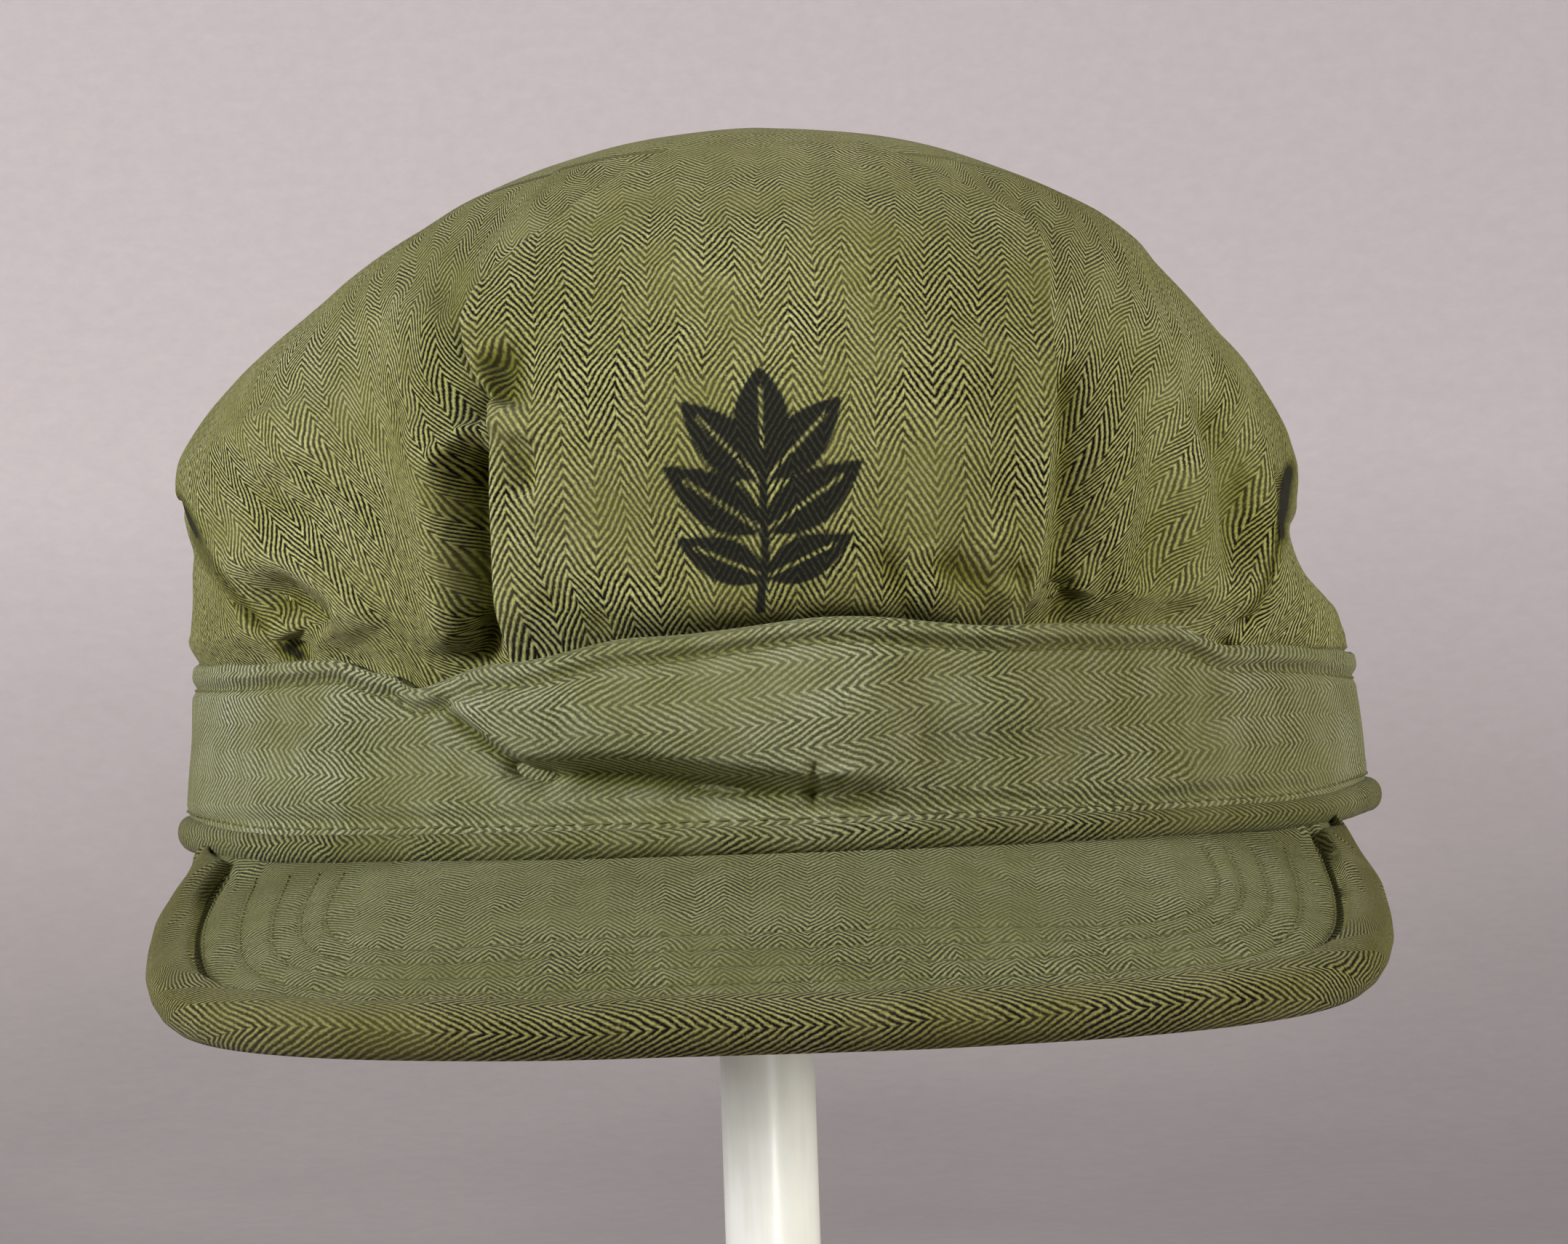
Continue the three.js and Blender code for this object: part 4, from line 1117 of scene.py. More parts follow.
# The front panel
@dataclass
class FrontPanel:
    """The upright front panel, sewn flush over the top and free at its two pleats, with its printed sprig."""

    columns: int = 270
    rows: int = 300
    turned: float = 7.0  # how much cloth is turned under at the pleats
    top_share: float = 0.845  # the share up the crown where the panel ends
    flush: float = 0.32  # how far the panel stands out where it is sewn flush
    edge_round: float = 1.1  # how far in from its edges the panel is rounded
    mark_middle: tuple[float, float] = (-0.4, 46.3)
    # height, where the left edge is, where the right edge is
    edges: tuple[tuple[float, float, float], ...] = (
        (10, -35.0, 33.6), (22, -35.2, 33.7), (27, -35.1, 33.8), (33, -34.6, 34.1), (40, -33.9, 34.9),
        (50, -33.2, 35.8), (56, -32.8, 36.4), (60, -33.4, 36.8), (64, -35.4, 37.0), (68, -36.6, 37.2),
        (72, -37.2, 37.4), (76, -35.8, 37.6), (80, -32.2, 37.2), (84, -26.8, 35.4), (87.5, -21.8, 29.6),
        (90.5, -17.6, 23.6), (93, -12, 17.6), (95, -6.4, 10.4), (96, -1.5, 4.0),
    )
    folds: tuple[Fold, ...] = (
        Fold("arch dimple", ((-33.6, 56.0), (-33.0, 52.2), (-32.6, 47.6)), -1.6, 1.9, 1.9, taper=0.2),
        Fold("arch end ridge", ((-38.4, 57.2), (-36.0, 57.4), (-33.2, 56.0), (-31.6, 53.2)),
             1.8, 1.6, 1.4),
        Fold("hollow over the arch", ((-37.2, 59.8), (-36.0, 64.4), (-37.4, 69.6)),
             -3.8, 3.2, 3.8, taper=0.25),
        Fold("crease by the arch", ((-31.5, 62), (-29.8, 52), (-30.6, 42)), 0.8, 2.4, 2.4),
        Fold("left foot dent", ((-30, 33), (-24, 31.5)), -0.8, 2.4, 2.4, taper=0),
        Fold("left foot swell", ((-36, 30), (-33.5, 44)), 0.5, 3, 3),
        Fold("middle foot dent", ((5, 32.5), (11, 31.6)), -0.7, 2.0, 2.0, taper=0),
        Fold("right foot dent, inner", ((16.5, 36.5), (18.4, 32.4)), -1.1, 2.1, 2.1, taper=0),
        Fold("right foot dent", ((24.5, 36.2), (29.5, 33.4)), -1.7, 2.6, 3.0, taper=0),
        Fold("right foot ridge", ((20.6, 40), (22.6, 32)), 0.7, 2.2, 2.2, taper=0.2),
        Fold("right edge dent", ((33.6, 34.5), (35.2, 30.5)), -1.5, 2.0, 2.0, taper=0),
        Fold("right edge ridge", ((30.8, 42), (32.4, 36), (31.8, 31)), 0.8, 2.2, 2.2, taper=0.2),
        Fold("right upper slack", ((30, 62), (33.5, 50), (31, 42)), -0.6, 3.4, 3.4),
        Fold("mark slack", ((14, 60), (17.5, 50), (15, 40)), -0.45, 3.6, 3.6),
        Fold("mark slack, left", ((-18, 62), (-20.5, 50), (-19, 38)), -0.4, 3.6, 3.6),
        Fold("brow swell", ((-20, 78), (0, 80), (20, 79)), 0.6, 7, 7),
    )

    # shadows of small puckers, as dark places on the cloth
    puckers: tuple[Fold, ...] = (
        Fold("right foot, inner", ((15.6, 37.5), (18.4, 31.8)), -0.9, 2.0, 2.0, taper=0),
        Fold("right foot", ((23.5, 36.6), (30.0, 33.0)), -1.2, 2.2, 2.4, taper=0),
        Fold("right edge", ((33.4, 38.5), (36.2, 30.5)), -1.3, 1.8, 1.8, taper=0),
        Fold("left foot", ((-31, 32.4), (-22, 30.8)), -0.8, 2.0, 2.0, taper=0),
        Fold("over the arch", ((-38.4, 61.0), (-37.4, 65.0), (-38.6, 69.5)), -0.9, 2.4, 3.2, taper=0.2),
    )

    def ink(self, across: np.ndarray, up: np.ndarray) -> np.ndarray:
        """How much ink there is: a plain sprig of leaves.

        Args:
            across: places across the panel.
            up: places up it.

        Returns:
            0 for bare cloth to 1 for full ink.
        """
        x, z = across - self.mark_middle[0], up - self.mark_middle[1]
        # foot across and up, lean from upright in degrees, length, width
        leaves = (
            (0.0, 4.2, 0.0, 11.8, 7.2), (-0.3, 1.2, -44.0, 14.6, 6.8), (0.3, 1.2, 44.0, 14.6, 6.8),
            (-0.2, -5.4, -56.0, 15.4, 7.0), (0.2, -5.4, 56.0, 15.4, 7.0),
            (0.0, -11.4, -66.0, 12.6, 5.8), (0.0, -11.4, 66.0, 12.6, 5.8),
        )
        clear = np.full(x.shape, -10.0)
        for foot_x, foot_z, lean, length, width in leaves:
            c, s = math.cos(math.radians(lean)), math.sin(math.radians(lean))
            along = ((x - foot_x) * s + (z - foot_z) * c) / length
            aside = np.abs((x - foot_x) * c - (z - foot_z) * s)
            inside = np.clip(along, 0, 1)
            half = 0.5 * width * np.sin(math.pi * inside**0.82) ** 0.85
            vein = aside - 0.22
            depth = np.minimum(half - aside, np.where(inside < 0.8, vein, 10))
            clear = np.maximum(clear, np.where((along > 0) & (along < 1), depth, -1))
        stem = 0.62 - np.abs(x - 0.9 * np.sin(z / 9.0) * smooth(-z, 8, 16))
        clear = np.maximum(clear, np.where((z > -16) & (z < 5), stem, -1))
        return smooth(clear, -0.16, 0.16)

    def build(self) -> list[bpy.types.Object]:
        """Makes the panel.

        Returns:
            The pieces.
        """
        share = np.linspace(-1, 1, self.columns)
        rise = np.linspace(0, 1, self.rows)
        t = self.top_share * (0.82 * rise + 0.18 * np.sin(rise * math.pi / 2))
        side_reach = FORM.crown(np.full(len(t), 90.0), t)[:, 0]
        level = FORM.crown(np.full(len(t), 24.0), t)[:, 2]
        edges = np.array(self.edges)
        left = np.interp(level, edges[:, 0], edges[:, 1])
        right = np.interp(level, edges[:, 0], edges[:, 2])
        # Cloth turned under beyond each edge, then the face of the panel
        under = np.linspace(1, 0, 5)[:-1] * self.turned
        inner = 1 - smooth(level, 60, 70)
        from_edge = np.concatenate([under, (share + 1), under[::-1]])
        columns = len(from_edge)
        x = np.zeros((self.rows, columns))
        lift = np.zeros((self.rows, columns))
        full = FORM.crown_wall + FORM.loose_gap
        outer_lift = full * inner + self.flush * (1 - inner)
        inner_lift = (FORM.loose_gap - 0.25) * inner - 0.6 * (1 - inner)
        n = len(under)
        for k, depth in enumerate(under):
            x[:, k] = left + depth
            x[:, columns - 1 - k] = right - depth
            lift[:, k] = lift[:, columns - 1 - k] = inner_lift
        wide = right - left
        x[:, n:-n] = left[:, None] + (share + 1) / 2 * wide[:, None]
        near = np.minimum(x[:, n:-n] - left[:, None], right[:, None] - x[:, n:-n])
        round_off = np.sqrt(np.clip(1 - (1 - np.clip(near / self.edge_round, 0, 1)) ** 2, 0, 1))
        lift[:, n:-n] = inner_lift[:, None] + (outer_lift - inner_lift)[:, None] * round_off
        ratio = np.clip(x / side_reach[:, None], -0.98, 0.98)
        angles = np.degrees(np.arcsin(ratio))
        shares = np.broadcast_to(t[:, None], angles.shape)
        base = FORM.crown(angles, shares)
        way = FORM.crown_out(angles, shares)
        out, _ = folded(self.folds, seen_from_front(base))
        out = out + 0.3 * ripple(base, 34, 21) + 0.12 * ripple(base, 13, 22)
        above = smooth(base[..., 2] - FORM.band_top(angles), 0, 5)
        # The pleats' edges are a little wavy and stand off the crown in places
        edge_near = 1 - smooth(np.minimum(x - left[:, None], right[:, None] - x), 0, 6)
        stand_off = edge_near * inner[:, None] * (0.5 + 0.5 * ripple(base * (0, 0, 1), 22, 23))
        points = base + way * (lift + (out + 0.7 * stand_off) * above)[..., None]
        middle = np.argmin(np.abs(share)) + n
        up = arc_lengths(points, 0)[:, middle]
        cloth = np.stack([x * 1.06, np.broadcast_to(up[:, None], x.shape), np.zeros_like(x)], -1)
        sheet = Sheet()
        # Painted shade: the puckers' shadows are added to the relief, and the finish darkens the hollows from
        # both
        dark, _ = folded(self.puckers, seen_from_front(points))
        numbers = sheet.add_points(points, cloth, relief(points, 14, 16, False) + dark)
        sheet.add_grid(numbers)
        mesh = sheet.mesh("front_panel_cloth")
        layer = mesh.attributes.new("ink", "FLOAT", "POINT")
        ink = self.ink(points[..., 0], points[..., 2])
        ink[:, :n] = ink[:, -n:] = 0
        layer.data.foreach_set("value", ink.astype(np.float32).ravel())
        cloth = HerringboneCloth("panel_herringbone", CROWN_LIGHT, CROWN_DARK, printed=True)
        return [dress("front_panel_cloth", mesh, cloth.made(), ("crown_front_panel",))]


# Stitches
def stitch_row(
    name: str, path: np.ndarray, out: np.ndarray, node: str, long: float = 1.7, gap: float = 0.9,
    thick: float = 0.2, closed: bool = False,
) -> bpy.types.Object:
    """Sews a row of stitches, each a small rounded length of thread pressed into the cloth.

    Args:
        name: the row's name.
        path: places along the row.
        out: the way out of the cloth at each place.
        node: the solid that it lies on.
        long: one stitch's length.
        gap: the cloth between two stitches.
        thick: the thread's radius.
        closed: whether the row goes once round.

    Returns:
        The row.
    """
    if closed:
        path, out = np.concatenate([path, path[:1]]), np.concatenate([out, out[:1]])
    lengths = arc_lengths(path, 0)
    count = int(lengths[-1] // (long + gap))
    starts = np.arange(count) * lengths[-1] / count
    rings, corners = 5, 6
    shares = np.linspace(0, 1, rings)
    turn = np.linspace(0, 2 * math.pi, corners, endpoint=False)
    at = starts[:, None] + shares[None] * long
    middle = np.stack([np.interp(at, lengths, path[:, k]) for k in range(3)], -1)
    normal = unit(np.stack([np.interp(at, lengths, out[:, k]) for k in range(3)], -1))
    way = unit(np.gradient(middle, axis=1))
    aside = np.cross(way, normal)
    girth = thick * np.sqrt(np.clip(1 - (2 * shares - 1) ** 2 * 0.93, 0, 1))
    dip = 0.55 * thick * (2 * shares - 1) ** 2
    middle = middle - normal * dip[None, :, None]
    ring = middle[:, :, None] + girth[None, :, None, None] * (
        np.cos(turn)[:, None] * aside[:, :, None] + np.sin(turn)[:, None] * normal[:, :, None]
    )
    sheet = Sheet()
    for one in ring:
        numbers = sheet.add_points(one, np.zeros(3))
        sheet.add_grid(numbers, around=True, inside=True)
        sheet.faces.append(numbers[0][None])
        sheet.faces.append(numbers[-1][::-1][None])
    return dress(name, sheet.mesh(name), SewingThread(f"thread_of_{name}").made(), (node,))


# The band
@dataclass
class Band:
    """The low cloth band with its rolled top, its bulge and pocket fold, and the rolled hem under it."""

    columns: int = 760
    rows: int = 84
    hem_height: float = 4.6
    hem_depth: float = 4.4
    hem_bulge: float = 1.15
    roll_out: float = 0.75  # how far the rolled top stands out
    low_edge: float = 2.6  # height of the band's hidden lower edge
    folds: tuple[Fold, ...] = (
        Fold("pocket step", ((-52.5, 24.6), (-48.4, 20.6), (-43.2, 15.9), (-38.3, 11.7), (-34.2, 9.0),
             (-27.3, 9.4), (-17.1, 8.7), (-7.0, 7.0), (3.5, 5.6), (20, 4.6)),
             4.0, 2.8, 1.1, Profile.STEP, fall=22, taper=0.07),
        Fold("pocket crease", ((-50, 22.0), (-44.4, 16.9), (-39.5, 12.6), (-34.8, 9.2), (-27.3, 9.0)),
             -1.5, 1.5, 1.2, taper=0.3),
        Fold("pocket dimple", ((-36.0, 9.6), (-33.0, 8.6)), -2.6, 1.9, 1.8, taper=0),
        Fold("pocket underside", ((-33, 8.4), (-20, 7.6), (-8, 6.0), (4, 5.0)),
             -2.1, 3.0, 2.6, taper=0.25),
        Fold("bulge crest", ((-44, 20.5), (-30, 17.5), (-12, 16.5), (8, 15.4), (30, 14.8), (48, 15.4)),
             1.1, 6.0, 6.0, taper=0.2),
        Fold("bulge end", ((60.2, 23.5), (60.6, 17.4), (59.1, 12.6), (55.3, 7.4), (52.6, 3.6)),
             1.5, 3.6, 1.3, Profile.STEP, fall=9, taper=0.1),
        Fold("bulge end crease", ((61.0, 22), (61.6, 17.0), (60.3, 12.2), (56.3, 7.2)), -0.7, 1.3, 1.5),
        Fold("tack", ((4.8, 9.4), (5.1, 1.6)), -0.9, 0.8, 0.8, taper=0.1),
        Fold("tack swell", ((8.4, 9.0), (8.8, 3.0)), 0.6, 1.8, 2.2, taper=0.2),
        Fold("left soft crease", ((-76, 15.5), (-62, 12.0), (-48, 10.8)), -0.5, 3.0, 2.6),
        Fold("left lower swell", ((-78, 9.0), (-60, 6.6), (-42, 5.2)), 0.6, 3.0, 3.0),
        Fold("right crease", ((64, 17.6), (72, 16.6), (80, 16.9)), -0.35, 1.5, 1.5),
        Fold("right lower crease", ((62, 9.6), (71, 8.4), (81, 8.6)), -0.35, 1.8, 1.8),
        Fold("front slack", ((14, 12), (30, 10.5), (46, 11.6)), -0.6, 3.0, 3.0),
    )

    def angles(self) -> np.ndarray:
        """Angles all the way round, closer at the front."""
        turn = np.linspace(-math.pi, math.pi, self.columns + 1)[:-1]
        return np.degrees(turn - 0.42 * np.sin(turn))

    def face(self, angle: np.ndarray, height: np.ndarray) -> np.ndarray:
        """A place on the band's outer face.

        Args:
            angle: degrees from the front.
            height: height above the rim.

        Returns:
            The places.
        """
        base = FORM.ring(angle, height, 0 * height)
        top = FORM.band_top(angle)
        in_front = smooth(-base[..., 1], -4, 10)
        out, _ = folded(self.folds, seen_from_front(base))
        low = smooth(height, self.hem_height - 1.4, self.hem_height + 2.4)
        below_top = top - height
        held = smooth(below_top, 0.6, 5.5)
        out = in_front * out * low * (0.25 + 0.75 * held)
        out = out + low * held * (0.45 * ripple(base, 40, 31) + 0.16 * ripple(base, 15, 32))
        roll = self.roll_out * (1 - 0.85 * smooth(np.abs(angle), 60, 76))
        roll = roll * np.exp(-(((below_top - 0.9) / 0.85) ** 2))
        roll = roll - 0.6 * np.exp(-(((below_top - 2.7) / 0.8) ** 2))
        seam_hollow = 0.45 * np.exp(-(((height - self.hem_height) / 0.9) ** 2))
        behind = np.radians(np.mod(angle, 360) - 180) * FORM.half_length * 0.86
        seam = 0.7 * np.exp(-((behind / 0.7) ** 2)) - 0.3 * np.exp(-(((np.abs(behind) - 3.5) / 2.4) ** 2))
        return FORM.ring(angle, height, out + roll - seam_hollow - seam * low)

    def band_piece(self) -> bpy.types.Object:
        """The band itself: its outer face, its rounded top and its inner face.

        Returns:
            The piece.
        """
        angle = self.angles()
        top = FORM.band_top(angle) + 0.25 * ripple(FORM.ring(angle, 0 * angle, 0 * angle), 26, 33)
        low = self.low_edge
        share = np.linspace(0, 1, self.rows)
        rise = (0.72 * share + 0.28 * np.sin(share * math.pi / 2))[:, None]
        heights = low + (top[None] - low) * rise
        angles = np.broadcast_to(angle, heights.shape)
        outer = self.face(angles, heights)
        outward = grid_normals(outer, True)
        last = outer[-1]
        over = []
        for turn in (25, 60, 100, 140, 175):
            c, s = math.cos(math.radians(turn)), math.sin(math.radians(turn))
            middle = last - outward[-1] * 1.0
            over.append(middle + outward[-1] * c * 1.0 + np.array([0, 0, 0.9]) * s)
        over = np.array(over)
        inner_heights = np.linspace(1, 0, 9)[:, None] * (top[None] - low) + low
        inner_angles = np.broadcast_to(angle, inner_heights.shape)
        inner = FORM.ring(inner_angles, inner_heights, -FORM.band_wall + 0 * inner_heights)
        grid = np.concatenate([outer, over, inner])
        along = np.broadcast_to(arc_lengths(FORM.ring(angle, 0 * angle, 0 * angle), 0), grid.shape[:2])
        fold_length = spread(arc_lengths(grid, 0)[: self.rows] - (heights - low), 14, 1, True)
        up = np.concatenate([
            heights + 0.6 * fold_length,
            top + np.linspace(0.4, 3, 5)[:, None] + 0 * over[..., 0],
            top + 3 + (top - inner_heights),
        ])
        sheet = Sheet()
        stands = np.zeros(grid.shape[:2])
        # the band's relief, from which the finish paints shade in its hollows
        stands[: self.rows] = relief(outer, 9, 8, True)
        numbers = sheet.add_points(grid, np.stack([along, up + 0.4, 0 * up], -1), stands)
        sheet.add_grid(numbers, around=True)
        sheet.add_grid(np.stack([numbers[-1], numbers[0]]), around=True)
        cloth = HerringboneCloth(
            "band_herringbone", (198, 199, 143), (25, 24, 11), Weave.LEVEL, contrast=0.72, deep=1.1
        )
        return dress("band_cloth", sheet.mesh("band_cloth"), cloth.made(), ("band",))

    def hem_centre(self, angle: np.ndarray) -> tuple[np.ndarray, np.ndarray]:
        """Height of the hem's middle and half its height, which sink at the front."""
        front = 1 - smooth(np.abs(angle), 52, 84)
        return self.hem_height / 2 - 1.5 * front, self.hem_height / 2 - 0.25 * front

    def hem_piece(self) -> bpy.types.Object:
        """The rolled hem.

        Returns:
            The piece.
        """
        angle = self.angles()
        middle, half = self.hem_centre(angle)
        place = FORM.ring(angle, 0 * angle, 0 * angle)
        uneven = 0.25 * ripple(place, 24, 41) + 0.12 * ripple(place, 9, 42)
        rings = []
        for turn in np.linspace(-180, 180, 23)[:-1]:
            c, s = math.cos(math.radians(turn)), math.sin(math.radians(turn))
            across = (self.hem_depth / 2 + uneven) * np.sign(c) * abs(c) ** 0.8
            out = self.hem_bulge - self.hem_depth / 2 + across
            ring = FORM.ring(angle, 0 * angle, out)
            ring[:, 2] = middle + (half + 0.3 * uneven) * s
            rings.append(ring)
        grid = np.array(rings)
        along = np.broadcast_to(arc_lengths(grid, 1)[11], grid.shape[:2])
        up = arc_lengths(grid, 0)
        sheet = Sheet()
        numbers = sheet.add_points(grid, np.stack([along, up, 0 * up], -1))
        sheet.add_grid(numbers, around=True)
        sheet.add_grid(np.stack([numbers[-1], numbers[0]]), around=True)
        cloth = HerringboneCloth(
            "hem_twill", (168, 167, 108), (14, 13, 4), Weave.LEVEL, column=7.5, contrast=0.9
        )
        return dress("hem_roll", sheet.mesh("hem_roll"), cloth.made(), ("band_hem",))

    def build(self) -> list[bpy.types.Object]:
        """Makes the band, the hem and their stitching.

        Returns:
            The pieces.
        """
        pieces = [self.band_piece(), self.hem_piece()]
        angle = self.angles()
        middle, half = self.hem_centre(angle)
        groove = self.face(angle, middle + half + 0.75)
        way = unit(groove * (1, 1, 0))
        sewn = groove + way * 0.12
        pieces.append(stitch_row("hem_stitches", sewn, way, "band_hem", closed=True))
        sewn = self.face(angle, FORM.band_top(angle) - 2.9) + way * 0.08
        pieces.append(stitch_row("band_top_stitches", sewn, way, "band", closed=True))
        return pieces


# The peak
@dataclass
class Peak:
    """The short stiffened peak: its covered board, the binding round its edge and its rows of stitches."""

    length: float = 61.5
    half: float = 80.9  # half its width
    shift: float = 1.6  # how far its middle lies to the -X side
    end: float = 38.0  # how far in front of the cap's middle its two ends are
    drop: float = 20.0  # how far its front edge lies below the rim
    camber: float = 1.6  # how far its face is rounded up
    thick: float = 3.0
    corner: float = 5.0  # how square its corners are
    binding: float = 6.6  # how far the binding reaches in from the edge
    end_taper: float = 0.04  # how much narrower the peak is where it meets the band
    end_lift: float = 1.1  # how far the board is raised there, to close up to the hem
    wrap_inset: float = 1.3  # how far in from the edge the binding starts to turn over it
    columns: int = 420
    # how far in from the edge each row of stitches runs
    rows_of_stitches: tuple[float, ...] = (7.7, 13.4, 19.1, 24.8, 30.5)

    def surface(self, share: np.ndarray, out: np.ndarray) -> np.ndarray:
        """A place on the peak's upper face.

        Args:
            share: from -1 to 1 across the peak.
            out: from 0 at the rim to 1 at its edge.

        Returns:
            The places.
        """
        share, out = np.broadcast_arrays(share, out)
        turn = share * math.pi / 2
        end_angle = math.degrees(math.acos(self.end / FORM.half_length))
        inner = FORM.ring(share * end_angle, 0 * share, 0 * share - 1.9)
        inner[..., 2] = -FORM.seam_gap
        reach = FORM.half_length + self.length - self.end
        stretch = np.abs(np.sin(turn)) ** self.corner + np.abs(np.cos(turn)) ** self.corner
        stretch = stretch ** (-1 / self.corner)
        edge = np.stack(
            [
                self.half * stretch * np.sin(turn) - self.shift,
                -self.end - reach * stretch * np.cos(turn),
                -FORM.seam_gap - self.drop * (1 - np.abs(share) ** 2.9),
            ],
            -1,
        )
        edge[..., 0] *= 1 - self.end_taper * smooth(np.abs(share), 0.8, 1.0)
        point = inner + (edge - inner) * out[..., None]
        point[..., 2] += self.camber * np.sin(math.pi * out) * np.cos(turn)
        return point

    def up(self, share: np.ndarray, out: np.ndarray) -> np.ndarray:
        """The way up out of the peak's face.

        Args:
            share: from -1 to 1 across the peak.
            out: from 0 at the rim to 1 at its edge.

        Returns:
            A unit vector at each place.
        """
        step = 0.01
        low = np.minimum(out, 1 - step)
        right = self.surface(np.minimum(share + step, 1), low)
        across = right - self.surface(np.maximum(share - step, -1), low)
        along = self.surface(share, low + step) - self.surface(share, low)
        return unit(np.cross(along, across))

    def away(self, share: np.ndarray) -> tuple[np.ndarray, np.ndarray]:
        """The way straight out from the peak's edge, and how far the peak reaches along it.

        Args:
            share: from -1 to 1 across the peak.

        Returns:
            Unit vectors and lengths.
        """
        step = 0.01
        one = np.ones_like(share)
        right = self.surface(np.minimum(share + step, 1), one)
        edge = right - self.surface(np.maximum(share - step, -1), one)
        away = unit(np.cross(edge, self.up(share, one)))
        reach = (away * (self.surface(share, one) - self.surface(share, 0 * one))).sum(-1)
        return away, reach

    def shares(self, count: int) -> np.ndarray:
        """Shares across the peak, closer together at its corners."""
        share = np.linspace(-1, 1, count)
        return share + 0.05 * np.sin(2 * math.pi * share)

    def board(self, share: np.ndarray, out: np.ndarray) -> np.ndarray:
        """The peak's covered face, with the slight waves of worn cloth.

        Args:
            share: from -1 to 1 across the peak.
            out: from 0 at the rim to 1 at its edge.

        Returns:
            The places.
        """
        base = self.surface(share, out)
        hollow = -0.5 * np.exp(-(((base[..., 0] + 52) / 20) ** 2))
        hollow = hollow - 0.5 * np.exp(-(((base[..., 0] - 40) / 26) ** 2))
        wave = (0.35 * ripple(base, 36, 51) + hollow) * smooth(out, 0.1, 0.4) * (1 - smooth(out, 0.8, 1.0))
        raised = self.end_lift * smooth(np.abs(share), 0.78, 0.9)
        return base + self.up(share, out) * (wave + raised + self.quilting(share, out))[..., None]

    def quilting(self, share: np.ndarray, out: np.ndarray) -> np.ndarray:
        """How far the rows of stitches, and the channel beside the binding, draw the cloth in.

        Args:
            share: from -1 to 1 across the peak.
            out: from 0 at the rim to 1 at its edge.

        Returns:
            Millimetres, minus where the cloth is drawn in.
        """
        share, out = np.broadcast_arrays(share, out)
        _, reach = self.away(share)
        inset = (1 - out) * reach
        drawn = np.zeros(share.shape)
        for k, row in enumerate(self.rows_of_stitches):
            pull = 0.2 if k else 0.16
            drawn -= pull * np.exp(-(((inset - row) / 1.0) ** 2)) * smooth(reach, row + 3, row + 9)
        ends = smooth(np.abs(share), 0.5, 0.75)
        return drawn - 0.5 * ends * np.exp(-(((inset - self.binding - 0.4) / 0.6) ** 2))

    def cloth(self, points: np.ndarray) -> np.ndarray:
        """Where the peak's points lie on the flat cloth."""
        return np.stack([points[..., 0], -points[..., 1] * 1.05, 0 * points[..., 0]], -1)

    def board_piece(self) -> bpy.types.Object:
        """The covered board, closed all round.

        Returns:
            The piece.
        """
        share = self.shares(300)
        _, reach = self.away(share)
        stop = 1 - (1.6 - 1.1 * smooth(np.abs(share), 0.7, 0.9)) / np.maximum(reach, 2)
        out = np.linspace(0, 1, 90)[:, None] * stop[None]
        top = self.board(share[None], out)
        low_out = np.linspace(1, 0, 24)[:, None] * stop[None]
        down = self.thick * self.up(np.broadcast_to(share, low_out.shape), low_out)
        low = self.board(share[None], low_out) - down
        grid = np.concatenate([top, low])[::-1]
        sheet = Sheet()
        stands = np.zeros(grid.shape[:2])
        # Painted shade: the stitch rows and the channel beside the binding are darkened by 1.9 times their
        # depth
        stands[-len(top):] = 1.9 * self.quilting(share[None], out)[::-1]
        numbers = sheet.add_points(grid, self.cloth(grid), stands)
        sheet.add_grid(numbers)
        sheet.add_grid(np.stack([numbers[-1], numbers[0]]))
        cloth = HerringboneCloth("peak_twill", (174, 174, 110), (30, 28, 11), contrast=0.9)
        return dress("peak_cloth", sheet.mesh("peak_cloth"), cloth.made(), ("peak",))

    def binding_piece(self) -> bpy.types.Object:
        """The binding, a strip of cloth wrapped round the edge and sewn through.

        Returns:
            The piece.
        """
        share = self.shares(self.columns)
        away, reach = self.away(share)
        width = np.minimum(self.binding, np.maximum(reach - 2.6, 2.2))
        rows = []
        for s in np.linspace(0, 1, 9):
            inward = 1 - (width * (1 - s) + self.wrap_inset * s) / reach
            start = math.sqrt(max(0.0, 1 - (1 - min(s / 0.16, 1)) ** 2))
            loft = 1.55 * min(1.0, start) + 0.25 * math.sin(math.pi * s)
            rows.append((inward, loft, 0.0, True))
        for turn in (60, 30, 0, -30, -60):
            c, s = math.cos(math.radians(turn)), math.sin(math.radians(turn))
            loft = (self.thick / 2 + 1.6) * s - self.thick / 2
            rows.append((1 - self.wrap_inset / reach, loft, 2.0 * c, False))
        for s in np.linspace(1, 0, 7):
            inward = 1 - (width * (1 - s) + self.wrap_inset * s) / reach
            rows.append((inward, -self.thick - 1.5, 0.0, False))
        for s in (0.0, 0.5, 1.0):
            rows.append((1 - (width * (1 - s) + self.wrap_inset * s) / reach, -self.thick + 0.1, 0.0, False))
        for s in (1.0, 0.5, 0.0):
            rows.append((1 - (width * (1 - s) + self.wrap_inset * s) / reach, -0.1, 0.0, False))
        slack = smooth(np.abs(share), 0.72, 0.9)
        grid = []
        for inward, loft, outward, upper in rows:
            place = self.surface(share, inward)
            rise = np.full(len(share), loft)
            if upper:
                rise = rise + 0.15 * slack + 0.18 * ripple(place, 18, 61)
            lateral = outward + 0.12 * ripple(place, 30, 62) * (outward > 0)
            moved = self.up(share, inward) * rise[:, None] + away * np.asarray(lateral)[..., None]
            grid.append(place + moved)
        grid = np.array(grid)[::-1]
        along = np.broadcast_to(arc_lengths(grid, 1)[12], grid.shape[:2])
        up = arc_lengths(grid, 0)
        sheet = Sheet()
        numbers = sheet.add_points(grid, np.stack([along, up, 0 * up], -1))
        sheet.add_grid(numbers)
        sheet.add_grid(np.stack([numbers[-1], numbers[0]]))
        sheet.faces.append(numbers[:, 0][None])
        sheet.faces.append(numbers[:, -1][::-1][None])
